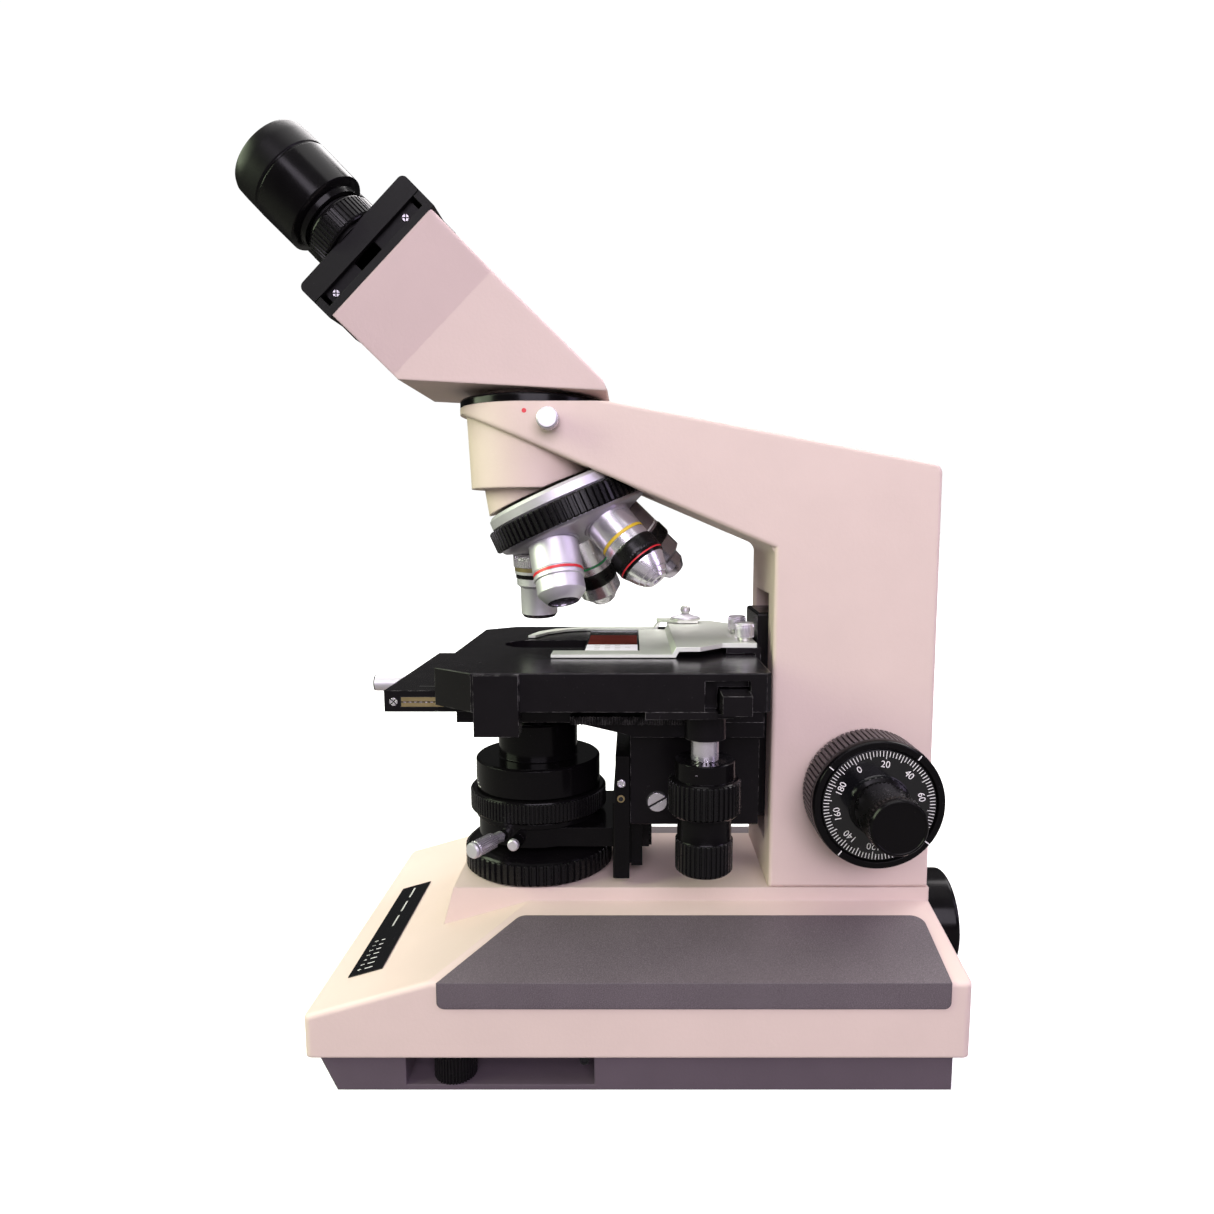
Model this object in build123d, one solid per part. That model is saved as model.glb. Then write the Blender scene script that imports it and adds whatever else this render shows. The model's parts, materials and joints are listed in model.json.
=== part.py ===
from build123d import *
import os
from math import sin, cos, tan, pi, radians

os.makedirs("parts", exist_ok=True)

# Frame: millimetres, origin on the table under the middle of the base,
# +X to the user's right, +Y to the back (the arm), +Z up.

# ---- optical layout ------------------------------------------------------
AXIS_Y = -54.0            # optical axis, X = 0
TILT = 24.0               # turret axis leans this far from the vertical
APEX_Z = 304.0            # where the turret axis meets the optical axis
SEAT_S = 62.0             # apex to an objective shoulder
TURRET_PHASE = -12.0      # turret stands this far off its click
OBJECTIVES = 5

# ---- base ----------------------------------------------------------------
BASE_HALF_W, BASE_HALF_L, BASE_REAR = 95.0, 150.8, 150.0
TRAY_TOP, TRAY_BOTTOM = 18.5, 0.0
NOSE_WALL_TOP, FRONT_SLOPE = 38.0, 0.2885
SIDE_EDGE_Z, SIDE_SLOPE = 54.0, 0.20
DECK_HALF_W, DECK_TOP, DECK_FRONT = 37.5, 72.6, -94.2
WALL = 7.0
LAMP_Z = 38.0
PAD_BOTTOM = 42.3         # lower edge of the hand rests on the side wall
TRAY_SCREWS = ((75, -120), (-75, -120), (75, 125), (-75, 125))
ARM_SCREWS = ((24, 82), (-24, 82), (24, 136), (-24, 136))
FEET = ((72, -98), (-72, -98), (72, 105), (-72, 105))
WHEEL_X, WHEEL_Y, WHEEL_R = 82.4, -85.0, 9.8      # dimmer wheel

# ---- arm and focus ---------------------------------------------------------
COLUMN_FRONT, COLUMN_REAR = 67.0, 148.4
SEAT_Z = 315.5            # top of the arm under the head
THROAT_R = 6.0            # rounding where the column meets the arm
THROAT_Y, THROAT_Z = 61.0, 241.63
FOCUS_Y, FOCUS_Z = 114.8, 124.4
COARSE_R, COARSE_X0, COARSE_X1 = 32.0, 38.2, 62.0
DIAL_R = 27.4             # graduated drum
FINE_R, FINE_X1 = 13.5, 92.0
SHAFT_GAP = 0.05          # radial running clearance of a shaft
RACK_R = 5.86             # pitch radius of the coarse pinion
CLAMP_Y, CLAMP_Z = -42.4, 306.5                   # head locking screw

# ---- stage -----------------------------------------------------------------
STAGE_TOP, STAGE_BOTTOM = 193.1, 175.8
STAGE_X0, STAGE_X1, STAGE_Y0, STAGE_Y1 = -74.0, 88.0, -92.0, 58.0
KNOB_X, KNOB_Y = 70.0, 30.8
GUIDE_X0, GUIDE_X1, GUIDE_TOP, GUIDE_BOTTOM = -48.0, 64.0, 180.5, 170.5
PIVOT_X, PIVOT_Y = -50.0, 29.0                    # specimen finger

# ---- condenser -------------------------------------------------------------
PINION_Y, PINION_Z = 14.0, 128.0                  # condenser height knob
SCREW_Z, SCREW_ANGLE, CLIP_ANGLE = 96.5, -30.0, -12.0

# ---- head ------------------------------------------------------------------
HEAD_Y, HEAD_Z = -117.6, 376.4    # middle of the joint between head and slides
HEAD_HALF_X, SLIDE_HALF_T = 45.0, 33.2
FRAME_HALF_T = 35.0               # the frame stands out past the housing
EYE_X = 32.0                      # half the interpupillary distance
EYE_T = -2.5                      # tubes sit a little below the middle of the joint


# ---- helpers ---------------------------------------------------------------
def block(x0, x1, y0, y1, z0, z1):
    size = Box(x1 - x0, y1 - y0, z1 - z0)
    return Pos((x0 + x1) / 2, (y0 + y1) / 2, (z0 + z1) / 2) * size


def disc(radius, z0, z1, x=0.0, y=0.0):
    return Pos(x, y, (z0 + z1) / 2) * Cylinder(radius, z1 - z0)


def disc_x(radius, x0, x1, y, z):
    return Pos((x0 + x1) / 2, y, z) * Rot(0, 90, 0) * Cylinder(radius, x1 - x0)


def disc_y(radius, y0, y1, x, z):
    return Pos(x, (y0 + y1) / 2, z) * Rot(90, 0, 0) * Cylinder(radius, y1 - y0)


def prism_x(points, x0, x1):
    """Outline of (y, z) points run along X."""
    face = make_face(Polyline([(0, y, z) for y, z in points], close=True))
    return Pos(x0, 0, 0) * extrude(face, amount=x1 - x0, dir=(1, 0, 0))


def prism_y(points, y0, y1):
    """Outline of (x, z) points run along Y."""
    face = make_face(Polyline([(x, 0, z) for x, z in points], close=True))
    return Pos(0, y0, 0) * extrude(face, amount=y1 - y0, dir=(0, 1, 0))


def prism_z(points, z0, z1):
    """Outline of (x, y) points run along Z."""
    face = make_face(Polyline([(x, y, 0) for x, y in points], close=True))
    return Pos(0, 0, z0) * extrude(face, amount=z1 - z0, dir=(0, 0, 1))


def turned(profile):
    """Solid of revolution about Z from (radius, z) points."""
    face = make_face(Polyline([(r, 0, z) for r, z in profile], close=True))
    return revolve(face, Axis.Z)


def fluted(r_tip, r_root, count, z0, z1):
    """Knob rim: trapezoid flutes round a Z axis."""
    points = []
    for i in range(count):
        for part, r in ((0.0, r_root), (0.2, r_tip), (0.6, r_tip), (0.8, r_root)):
            a = 2 * pi * (i + part) / count
            points.append((r * cos(a), r * sin(a)))
    return prism_z(points, z0, z1)


def along_x(solid, y, z):
    """Turn a Z-axis solid so that its axis is +X through (y, z)."""
    return Pos(0, y, z) * Rot(0, 90, 0) * solid


def save(name, solid):
    shape = solid if isinstance(solid, (Solid, Compound)) else Compound(solid)
    export_step(shape, os.path.join("parts", name + ".step"))


# ---- base group ------------------------------------------------------------
def front_z(y, grow=0.0):
    return NOSE_WALL_TOP + FRONT_SLOPE * (y + BASE_HALF_L) + 1.04 * grow


def side_z(x, grow=0.0):
    return SIDE_EDGE_Z + SIDE_SLOPE * (BASE_HALF_W - abs(x)) + 1.02 * grow


def base_wedge(grow, bottom):
    """Low wedge body with a sloping front and sloping sides."""
    y0, y1, w = -BASE_HALF_L - grow, BASE_REAR + grow, BASE_HALF_W + grow
    crest = -53.0
    side = prism_x([(y0, bottom), (y0, front_z(y0, grow)), (crest, front_z(crest, grow)),
                    (y1, front_z(crest, grow)), (y1, bottom)], -w, w)
    ridge = DECK_HALF_W
    across = prism_y([(-w, bottom), (-w, side_z(w, grow)), (-ridge, side_z(ridge, grow)),
                      (ridge, side_z(ridge, grow)), (w, side_z(w, grow)), (w, bottom)],
                     y0, y1)
    return side & across


def deck_block(grow, bottom):
    w = DECK_HALF_W + grow
    front = DECK_FRONT - grow
    return prism_x([(front - 5.4, bottom), (front - 5.4, 53.0), (front, DECK_TOP + grow),
                    (BASE_REAR - 1.0 + grow, DECK_TOP + grow),
                    (BASE_REAR - 1.0 + grow, bottom)], -w, w)


def soften(solid, keep, radius):
    """Round the edges that pass the test, one try for all of them."""
    edges = [e for e in solid.edges() if keep(e)]
    return fillet(edges, radius) if edges else solid


def pad_region():
    """Plan outline of the right hand rest, reaching down the side wall."""
    plan = [(50.0, -58.4), (99.0, -92.2), (99.0, 139.5), (50.0, 141.6)]
    region = prism_z(plan, PAD_BOTTOM, 90.0)
    region = soften(region, lambda e: abs(e.center().X - 50.0) < 0.1
                    and e.length > 40 and abs(e.tangent_at(0.5).Z) > 0.9, 6.0)
    return soften(region, lambda e: abs(e.center().Z - PAD_BOTTOM) < 0.1
                  and e.length > 20 and abs(e.tangent_at(0.5).X) > 0.5, 3.0)


def hand_rest_right():
    shell = base_wedge(0.8, TRAY_TOP) - base_wedge(-1.2, TRAY_TOP - 1)
    return shell & pad_region()


def base_casting():
    wedge = base_wedge(0.0, TRAY_TOP)
    wedge = soften(wedge, lambda e: abs(e.tangent_at(0.5).Z) > 0.95
                   and abs(abs(e.center().X) - BASE_HALF_W) < 1.0, 4.0)
    wedge = soften(wedge, lambda e: e.center().Z > TRAY_TOP + 1
                   and (abs(abs(e.center().X) - BASE_HALF_W) < 1.5
                        or abs(e.center().Y + BASE_HALF_L) < 1.5)
                   and abs(e.tangent_at(0.5).Z) < 0.9, 2.5)
    body = wedge + deck_block(0.0, TRAY_TOP + 20)
    body -= base_wedge(-WALL, TRAY_TOP - 5) + deck_block(-WALL, TRAY_TOP - 5)
    rest = hand_rest_right()
    body -= rest + mirror(rest, Plane.YZ)
    body += disc(27.0, DECK_TOP - 2, 82.0, 0, AXIS_Y)          # field lens boss
    body -= disc(20.0, 76.0, 90.0, 0, AXIS_Y) + disc(17.0, 50.0, 90.0, 0, AXIS_Y)
    body += block(-26, 26, 61, 67, TRAY_TOP, 67)               # collector lens web
    body -= disc_y(16.0, 55, 75, 0, LAMP_Z)
    body -= disc_y(19.3, 130, 160, 0, LAMP_Z)                  # lamp opening
    body -= block(-73.6, -46.4, 140, 155, 26.4, 45.6)          # inlet opening
    for x, y, top in ((75, -120, 44), (-75, -120, 44), (75, 125, 54), (-75, 125, 54)):
        body += disc(6.5, TRAY_TOP, top, x, y)
        body -= disc(2.0, TRAY_TOP - 1, 33.0, x, y)
    for x, y in ARM_SCREWS:
        body -= disc(3.0, 60.0, DECK_TOP + 1, x, y)
    body -= front_panel()
    return body


def base_tray():
    profile = [(-137.5, TRAY_BOTTOM), (-146.0, TRAY_TOP), (143.4, TRAY_TOP), (143.4, TRAY_BOTTOM)]
    tray = prism_x(profile, -91, 91)
    tray -= block(-88, 88, -136, 140, TRAY_BOTTOM + 3, TRAY_TOP + 1)
    tray += block(70, 91, -109, -17, TRAY_BOTTOM, TRAY_TOP)         # dimmer recess
    tray -= block(72, 95, -106, -20, TRAY_BOTTOM + 2.5, TRAY_TOP - 2)
    tray -= disc(3.4, TRAY_TOP - 3, TRAY_TOP + 1, WHEEL_X, WHEEL_Y)
    tray += prism_x([(-70, 3), (-40, 3), (-40, 19.7), (-70, 49.7)], -12, 12)
    for x, y in TRAY_SCREWS:
        tray += disc(6.5, TRAY_BOTTOM, TRAY_TOP, x, y)
        tray -= disc(4.05, -1, TRAY_BOTTOM + 3.2, x, y) + disc(2.05, -1, TRAY_TOP + 1, x, y)
    for x, y in FEET:
        tray -= disc(9.0, TRAY_BOTTOM, TRAY_BOTTOM + 1.5, x, y)
    return tray


def rubber_feet():
    return [disc(9.0, TRAY_BOTTOM, TRAY_BOTTOM + 1.5, x, y) for x, y in FEET]


def base_screws():
    screws = []
    for x, y in TRAY_SCREWS:
        head = disc(4.0, TRAY_BOTTOM + 0.2, TRAY_BOTTOM + 3.2, x, y)
        head -= block(x - 3, x + 3, y - 0.6, y + 0.6, TRAY_BOTTOM, TRAY_BOTTOM + 1.4)
        screws.append(head + disc(2.0, TRAY_BOTTOM + 3, 32.0, x, y))
    for x, y in ARM_SCREWS:
        screws.append(disc(5.0, 60.6, 65.6, x, y) + disc(3.0, 65.0, 88.0, x, y))
    return screws


def front_panel():
    """Black plate let into the sloping front, off centre to the right."""
    slope = Plane(origin=(20.7, -130.3, front_z(-130.3)), x_dir=(1, 0, 0),
                  z_dir=(0, -FRONT_SLOPE, 1))
    return slope * (Pos(0, 0, -0.5) * Box(96.5, 17.2, 2.0))


def dimmer_unit():
    unit = block(71, 87, -97, -73, TRAY_TOP, 32)
    return unit - disc(3.0 + SHAFT_GAP, TRAY_TOP - 1, 28, WHEEL_X, WHEEL_Y)


def dimmer_wheel():
    wheel = fluted(WHEEL_R, WHEEL_R - 0.6, 40, TRAY_BOTTOM + 3.2, 16.0)
    return Pos(WHEEL_X, WHEEL_Y, 0) * (wheel + disc(3.0, 15.0, 27.0))


def lamp_cap():
    cap = disc_y(27.0, BASE_REAR + 0.3, 171.5, 0, LAMP_Z)
    cap = soften(cap, lambda e: e.center().Y > 171, 2.5)
    cap += disc_y(19.0, 141, BASE_REAR + 1, 0, LAMP_Z) + disc_y(9, 118, 142, 0, LAMP_Z)
    return cap - disc_y(4.5, 108, 128, 0, LAMP_Z)


def lamp_bulb():
    bulb = disc_y(4.5, 106, 128, 0, LAMP_Z) + Pos(0, 104, LAMP_Z) * Sphere(6.5)
    return bulb


def collector_lens():
    face = make_face(ThreePointArc((60.0, 16.0), (56.5, 0), (60.0, -16.0))
                     + Polyline((60.0, -16.0), (68.0, -16.0), (68.0, 16.0), (60.0, 16.0)))
    half = face & Pos(62, 8) * Rectangle(20, 16)
    lens = revolve(half, Axis.X)
    return Pos(0, 0, LAMP_Z) * Rot(0, 0, 90) * lens


def fold_mirror():
    plane = Plane(origin=(0, AXIS_Y, LAMP_Z), x_dir=(1, 0, 0), z_dir=(0, 1, 1))
    return plane * (Pos(0, 0, -1.5) * Box(40, 48, 3))


def field_lens():
    return disc(20.0, 76.0, 79.5, 0, AXIS_Y)


def field_ring():
    ring = fluted(40.0, 38.9, 64, DECK_TOP + 0.4, 85.5)
    ring += Pos(0, 0, 85.5) * turned([(0, -0.2), (38.5, -0.2), (38.5, 0), (34, 2.5), (0, 2.5)])
    ring -= disc(27.3, DECK_TOP, 82.4) + disc(22.5, 80, 95)
    return Pos(0, AXIS_Y, 0) * ring


def power_inlet():
    body = block(-73.4, -46.6, 133, BASE_REAR + 1, 26.6, 45.4)
    body += block(-84, -36, BASE_REAR, BASE_REAR + 2.5, 24.5, 47.5)
    body -= block(-72, -48, 136, BASE_REAR + 5, 28.2, 43.8)
    for x, z in ((-67, 34), (-53, 34), (-60, 39)):
        body += block(x - 1, x + 1, 134, 148, z - 2, z + 2)
    return body


# ---- arm -------------------------------------------------------------------
def turret_plane():
    t = radians(TILT)
    return Plane(origin=(0, AXIS_Y, APEX_Z), x_dir=(1, 0, 0), z_dir=(0, sin(t), -cos(t)))


def throat_corner():
    """The rounded corner where the column meets the overhanging arm."""
    wedge = prism_x([(COLUMN_FRONT + 0.2, THROAT_Z), (COLUMN_FRONT + 0.2, THROAT_Z + 5.9),
                     (THROAT_Y + 2.35, THROAT_Z + 5.9), (THROAT_Y, THROAT_Z)], -35.5, 35.5)
    return wedge - disc_x(THROAT_R, -40, 40, THROAT_Y, THROAT_Z)


def arm_casting():
    outline = [(COLUMN_REAR, DECK_TOP), (147.0, 285.5), (-13.0, SEAT_Z), (-95.0, SEAT_Z),
               (-95.0, 313.0), (-89.0, 312.0), (COLUMN_FRONT, 245.6),
               (COLUMN_FRONT, DECK_TOP)]
    arm = prism_x(outline, -DECK_HALF_W, DECK_HALF_W)
    arm = soften(arm, lambda e: e.center().Y > 100 and abs(e.center().X) < 1
                 and e.center().Z > 200, 5.0)
    nose_round = disc(DECK_HALF_W, 60, 330, 0, AXIS_Y) + block(-60, 60, AXIS_Y, 200, 60, 330)
    arm &= nose_round
    arm = soften(arm, lambda e: abs(abs(e.center().X) - DECK_HALF_W) < 0.3
                 and e.length > 60 and e.center().Y > -20, 2.0)
    arm += throat_corner()
    nose = turned([(0, 275.0), (32.6, 275.0), (34.3, 312.0), (34.3, 314.0), (0, 314.0)])
    nose += turned([(0, 250.0), (22.0, 250.0), (26.0, 275.5), (0, 275.5)])
    nose = Pos(0, AXIS_Y, 0) * nose
    tp = turret_plane()
    nose -= tp * block(-70, 70, -70, 70, 29.5, 120)
    arm -= tp * disc(41.3, 29.5, 90) + tp * disc(44.4, 38.0, 90)
    arm += nose
    arm += tp * disc(6.0, 22, 46)                              # turret spindle
    arm -= disc(26.0, 300.5, 330, 0, AXIS_Y)                   # head socket
    arm -= disc(8.0, 255, 330, 0, AXIS_Y)                      # light path
    arm -= block(-21, 21, COLUMN_FRONT - 1, 92, 92, 222)       # slide channel
    arm -= block(-12, 12, 91, 126, 95, 180)                    # rack and pinion room
    arm -= disc_x(8.0 + SHAFT_GAP, -45, 45, FOCUS_Y, FOCUS_Z)
    arm -= disc_x(2.0 + SHAFT_GAP, 20, 45, CLAMP_Y, CLAMP_Z)
    for x, y in ARM_SCREWS:
        arm -= disc(3.0, DECK_TOP - 1, 88.0, x, y)
    return arm


def focus_rail():
    rail = block(-20, 20, 84.0, 92.0, 92, 220)
    return rail - block(-8, 8, 80, 95, 90, 225)


def head_seat():
    ring = disc(37.4, SEAT_Z, 319.7, 0, AXIS_Y)
    ring = soften(ring, lambda e: e.center().Z > 319, 1.2)
    return ring - disc(26.0, 310, 325, 0, AXIS_Y)


def head_clamp():
    knob = fluted(5.3, 5.0, 36, 39.0, 47.6) + disc(4.8, 47.0, 48.2)
    knob += disc(2.0, 25.0, 40.0)
    return along_x(knob, CLAMP_Y, CLAMP_Z)


# ---- coaxial focus knobs ---------------------------------------------------
def coarse_knob_right():
    rim = fluted(COARSE_R, COARSE_R - 1.2, 80, COARSE_X0, COARSE_X1 - 4.0)
    rim += disc(COARSE_R - 0.4, COARSE_X1 - 4.2, COARSE_X1)
    rim -= disc(DIAL_R + 0.4, COARSE_X1 - 2.2, COARSE_X1 + 1)
    rim -= disc(8.0, 0, 100)
    return along_x(rim, FOCUS_Y, FOCUS_Z)


def coarse_shaft():
    shaft = disc(8.0, -COARSE_X1 + 2.2, COARSE_X1 - 2.2)
    shaft -= disc(12.0, -10, 10) - disc(4.6, -10, 10)
    shaft += fluted(6.0, 4.6, 12, -8.0, 8.0)
    shaft -= disc(3.0 + SHAFT_GAP, -100, 100)
    return along_x(shaft, FOCUS_Y, FOCUS_Z)


def fine_knob_right():
    knob = fluted(FINE_R, FINE_R - 0.7, 48, COARSE_X1 - 1.5, FINE_X1 - 1.5)
    knob += disc(FINE_R - 0.6, FINE_X1 - 1.6, FINE_X1)
    knob += disc(DIAL_R, COARSE_X1 - 1.8, COARSE_X1 - 0.3)
    knob -= disc(3.0, 0, 88.0)
    return along_x(knob, FOCUS_Y, FOCUS_Z)


def fine_shaft():
    return disc_x(3.0, -88.0, 88.0, FOCUS_Y, FOCUS_Z)


# ---- stage carrier (rides on the focus slide) --------------------------------
def focus_slide():
    slide = block(-20, 20, 61.5, 83.6, 104.5, 212)
    slide = soften(slide, lambda e: abs(e.center().Z - 212) < 0.1, 1.5)
    slide += block(-6, 6, 83.0, 106.6, 108, 172)
    pitch = 2 * pi * RACK_R / 12
    for i in range(20):
        z = 109.0 + i * pitch
        slide += block(-6, 6, 106.0, 108.4, z, z + pitch / 2)
    return slide


def stage_bracket():
    body = block(-34, 34, -3.6, 61.5, 104.5, 155)
    body = soften(body, lambda e: abs(e.center().Z - 104.5) < 0.1, 1.5)
    body += prism_x([(-31, 161.5), (-3.6, 155.0), (-3.6, 154), (61.5, 154), (61.5, 161.5)],
                    -48, 48)
    body -= block(-38, 38, -32, -3.6, 150, 162)                # room over the condenser
    body -= block(-25.4, 25.4, -5, 3.0, 100, 161)              # condenser slideway
    body -= block(-6.5, 6.5, 2, 21, 100, 161)                  # rack and pinion room
    body -= disc_x(3.0 + SHAFT_GAP, -40, 0, PINION_Y, PINION_Z)
    return body


def stage_base_plate():
    plate = block(-48, 48, -88, 61.5, 161.5, 168.5)
    plate += block(GUIDE_X0 + 2, 48, -114, -20, 168, GUIDE_BOTTOM + 0.5)
    plate += block(GUIDE_X0, GUIDE_X1, -118.0, -15.0, GUIDE_BOTTOM, GUIDE_TOP)
    plate += disc_y(4.0, -135.5, -100, 20, 175.6)              # steel guide rod
    plate += block(47, 60, -32, 38, 163.5, 167.2)              # rack of the Y drive
    for i in range(44):
        y = -31.6 + i * 1.57
        plate += block(59.5, 61.3, y, y + 0.8, 163.5, 167.2)
    return plate - disc(23.0, 150, 190, 0, AXIS_Y)


# ---- moving stage ------------------------------------------------------------
def stage_plate():
    plan = [(STAGE_X0 + 14, STAGE_Y0), (STAGE_X1 - 15, STAGE_Y0), (STAGE_X1, STAGE_Y0 + 19),
            (STAGE_X1, STAGE_Y1 - 2), (STAGE_X1 - 2, STAGE_Y1), (STAGE_X0 + 2, STAGE_Y1),
            (STAGE_X0, STAGE_Y1 - 2), (STAGE_X0, STAGE_Y0 + 17)]
    plate = prism_z(plan, STAGE_BOTTOM, STAGE_TOP)
    plate = soften(plate, lambda e: abs(e.center().Z - STAGE_TOP) < 0.1, 0.6)
    plate += block(STAGE_X1 - 9, STAGE_X1 + 2.6, -71.6, -52.0, 165.3, STAGE_TOP - 0.6)
    plate -= block(GUIDE_X0 - 0.5, GUIDE_X1 + 0.5, -100, 33, 160, GUIDE_TOP + 0.6)
    plate -= block(-14, 14, -57, -3, 170, 200)                 # oval light slot
    plate -= disc(14, 170, 200, 0, -57) + disc(14, 170, 200, 0, -3)
    plate -= block(-80, STAGE_X1 + 5, 35.2, 48.9, STAGE_BOTTOM - 1, 185.4)   # bar channel
    plate -= block(STAGE_X1 - 8, STAGE_X1 + 5, 29.0, 48.9, STAGE_BOTTOM - 1, 189.5)
    plate -= block(-44, 62, 48, 60, STAGE_BOTTOM - 1, 185.4)   # way for the link
    return plate


def drive_socket():
    """Side plate under the stage and the housing of the coaxial stage drive."""
    plate = block(GUIDE_X1 + 0.6, STAGE_X1, 3.0, 34.6, 172.4, STAGE_BOTTOM)
    plate += block(65.0, STAGE_X1 - 2, 30.0, 45.0, 172.4, 174.4)
    plate += disc(9.6, 160, 173, KNOB_X, KNOB_Y)
    plate -= disc(5.5, 150, 171, KNOB_X, KNOB_Y)
    plate -= disc(8.5, 163.0, 167.8, KNOB_X, KNOB_Y)
    plate -= block(GUIDE_X0, GUIDE_X1 + 0.6, -40, 60, 168.1, 180)
    return plate - block(GUIDE_X0, 61.9, -40, 60, 150, 168.2)


def y_knob():
    """Upper knob with its sleeve and pinion; drives the stage to and fro."""
    knob = fluted(16.8, 16.1, 44, 124.4, 141.4) + disc(14.0, 141, 150)
    knob += disc(6.4, 149, 159.6) + disc(5.45, 158, 170)
    knob += fluted(8.1, 7.2, 16, 163.4, 167.4)
    knob -= disc(3.5 + SHAFT_GAP, 120, 175)
    return Pos(KNOB_X, KNOB_Y, 0) * knob


def x_knob():
    """Lower knob with the inner shaft; drives the specimen holder sideways."""
    knob = fluted(13.4, 12.8, 40, 96.8, 113.0) + disc(12.6, 112, 124.0)
    knob += disc(3.5, 120, 169.5)
    return Pos(KNOB_X, KNOB_Y, 0) * knob


# ---- specimen carriage -------------------------------------------------------
def x_carriage():
    bar = block(-66, 98, 35.7, 48.4, 176.2, 184.9)
    bar += block(-18, 36, 48, 61.0, 176.5, 184.9)
    bar += block(-18, 36, 58.4, 61.0, 176.5, 195.0)
    bar += block(-18, 36, 44, 61.0, STAGE_TOP + 0.4, 196.4)
    return bar


def holder_plate():
    """Bent plate with the fixed finger; the slide lies against it."""
    plan = [(-60, 18.5), (49, 18.5), (49, 30), (36, 42), (36, 59), (-40, 59), (-60, 44)]
    plate = prism_z(plan, 196.4, 198.6)
    plate += prism_x([(16.5, 193.5), (16.5, 195.0), (18.5, 198.6), (20.5, 198.6),
                      (20.5, 196.4), (19.8, 196.4), (18.2, 193.5)], -46, 49)
    plate += block(36, 49, -41.8, 17.5, 193.5, 195.0)
    plate += block(-46, 49, 1.0, 17.5, 193.5, 195.0)
    for x in (27.0, -4.0):
        plate -= disc(2.1, 190, 200, x, 54.0)
    return plate


def holder_screws():
    screw = disc(2.0, 196.4, 198.6) + disc(3.0, 198.6, 200.4)
    screw += fluted(4.8, 4.5, 30, 200.4, 208.0)
    return [Pos(x, 54.0, 0) * screw for x in (27.0, -4.0)]


def specimen_slide():
    return block(-40.5, 35.6, -26.8, 0.6, 193.5, 194.6)


def holder_finger():
    """Spring lever on its pivot, hooking round the far end of the slide."""
    root = prism_z([(-57, 36), (-43, 36), (-43, 24), (-50.5, 12), (-58, 12)], 199.0, 200.6)
    drop = prism_x([(14.5, 200.6), (14.5, 199.0), (12.0, 193.7), (10.0, 193.7), (10.0, 195.0)],
                   -58, -50.5)
    bow = prism_z([(-58, 12.5), (-50.5, 12.5), (-50.5, -30), (-45, -42), (-34, -51), (-19, -57),
                   (-19, -61), (-36, -57), (-49, -48), (-57, -33)], 193.7, 195.0)
    knob = disc(9.0, 200.6, 201.4) + turned([(0, 201), (9, 201.2), (3, 203.4), (0, 203.4)])
    knob += disc(1.6, 203, 206) + Pos(0, 0, 206.4) * Sphere(3.0)
    return root + drop + bow + Pos(PIVOT_X, PIVOT_Y, 0) * knob


# ---- condenser ---------------------------------------------------------------
def radial(angle, r0, r1, radius, z, flutes=0):
    """Round bar pointing out from the optical axis."""
    bar = fluted(radius, radius - 0.3, flutes, r0, r1) if flutes else disc(radius, r0, r1)
    return Pos(0, AXIS_Y, z) * Rot(0, 0, angle) * Rot(0, 90, 0) * bar


def condenser_mount():
    body = block(-36, 36, -12.6, -4.1, 76.8, 141.0)
    body = soften(body, lambda e: abs(e.tangent_at(0.5).Z) > 0.9 and e.center().Y < -10, 1.5)
    body -= block(-40, 40, -13, -11.2, 117.0, 142.0)
    body += block(-24, 24, -4.5, -3.0, 80, 139)
    body += block(-25, 25, -3.2, 2.6, 79.2, 140)
    body += block(-4, 4, 2.0, 6.6, 81, 139)
    pitch = 2 * pi * 6.0 / 12
    for i in range(18):
        z = 82.0 + i * pitch
        body += block(-4, 4, 6.4, 8.0, z, z + pitch / 2)
    body += block(-30, 30, -42, -11, 91.5, 101.5) + disc(32.5, 91.5, 101.5, 0, AXIS_Y)
    body -= disc(26.0, 90, 103, 0, AXIS_Y)
    for angle in (SCREW_ANGLE, 180 - SCREW_ANGLE, CLIP_ANGLE):
        body -= radial(angle, 20, 40, 2.0 + SHAFT_GAP, SCREW_Z)
    return body


def condenser_barrel():
    barrel = turned([(18, 92.0), (26.0, 92.0), (26.0, 101.5), (34.0, 101.5), (34.0, 104.6),
                     (27.5, 104.6), (27.5, 117.0), (33.5, 117.0), (33.5, 132.2), (32.7, 133.0),
                     (21.3, 133.0), (21.3, 152.2), (20.5, 153.0), (13.0, 153.0), (13.0, 168.0),
                     (10.0, 168.0), (10.0, 120.0), (18.0, 116.0)])
    return Pos(0, AXIS_Y, 0) * barrel


def condenser_lens():
    return disc(10.0, 161.0, 167.6, 0, AXIS_Y)


def aperture_ring():
    ring = fluted(36.8, 36.2, 100, 105.0, 116.6) - disc(27.8, 100, 120)
    return Pos(0, AXIS_Y, 0) * ring


def centering_screw_right():
    screw = radial(SCREW_ANGLE, 34.0, 56.5, 3.5, SCREW_Z, 24)
    return screw + radial(SCREW_ANGLE, 26.8, 34.5, 2.0, SCREW_Z)


def condenser_clamp():
    screw = radial(CLIP_ANGLE, 34.0, 43.0, 3.2, SCREW_Z, 20)
    return screw + radial(CLIP_ANGLE, 26.8, 34.5, 2.0, SCREW_Z)


def condenser_knob():
    knob = fluted(13.0, 12.3, 40, 34.6, 49.0) + disc(3.0, 3.5, 35.0)
    knob += fluted(5.6, 4.6, 12, -3.8, 3.8)
    return Pos(0, PINION_Y, PINION_Z) * Rot(0, -90, 0) * knob


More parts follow.
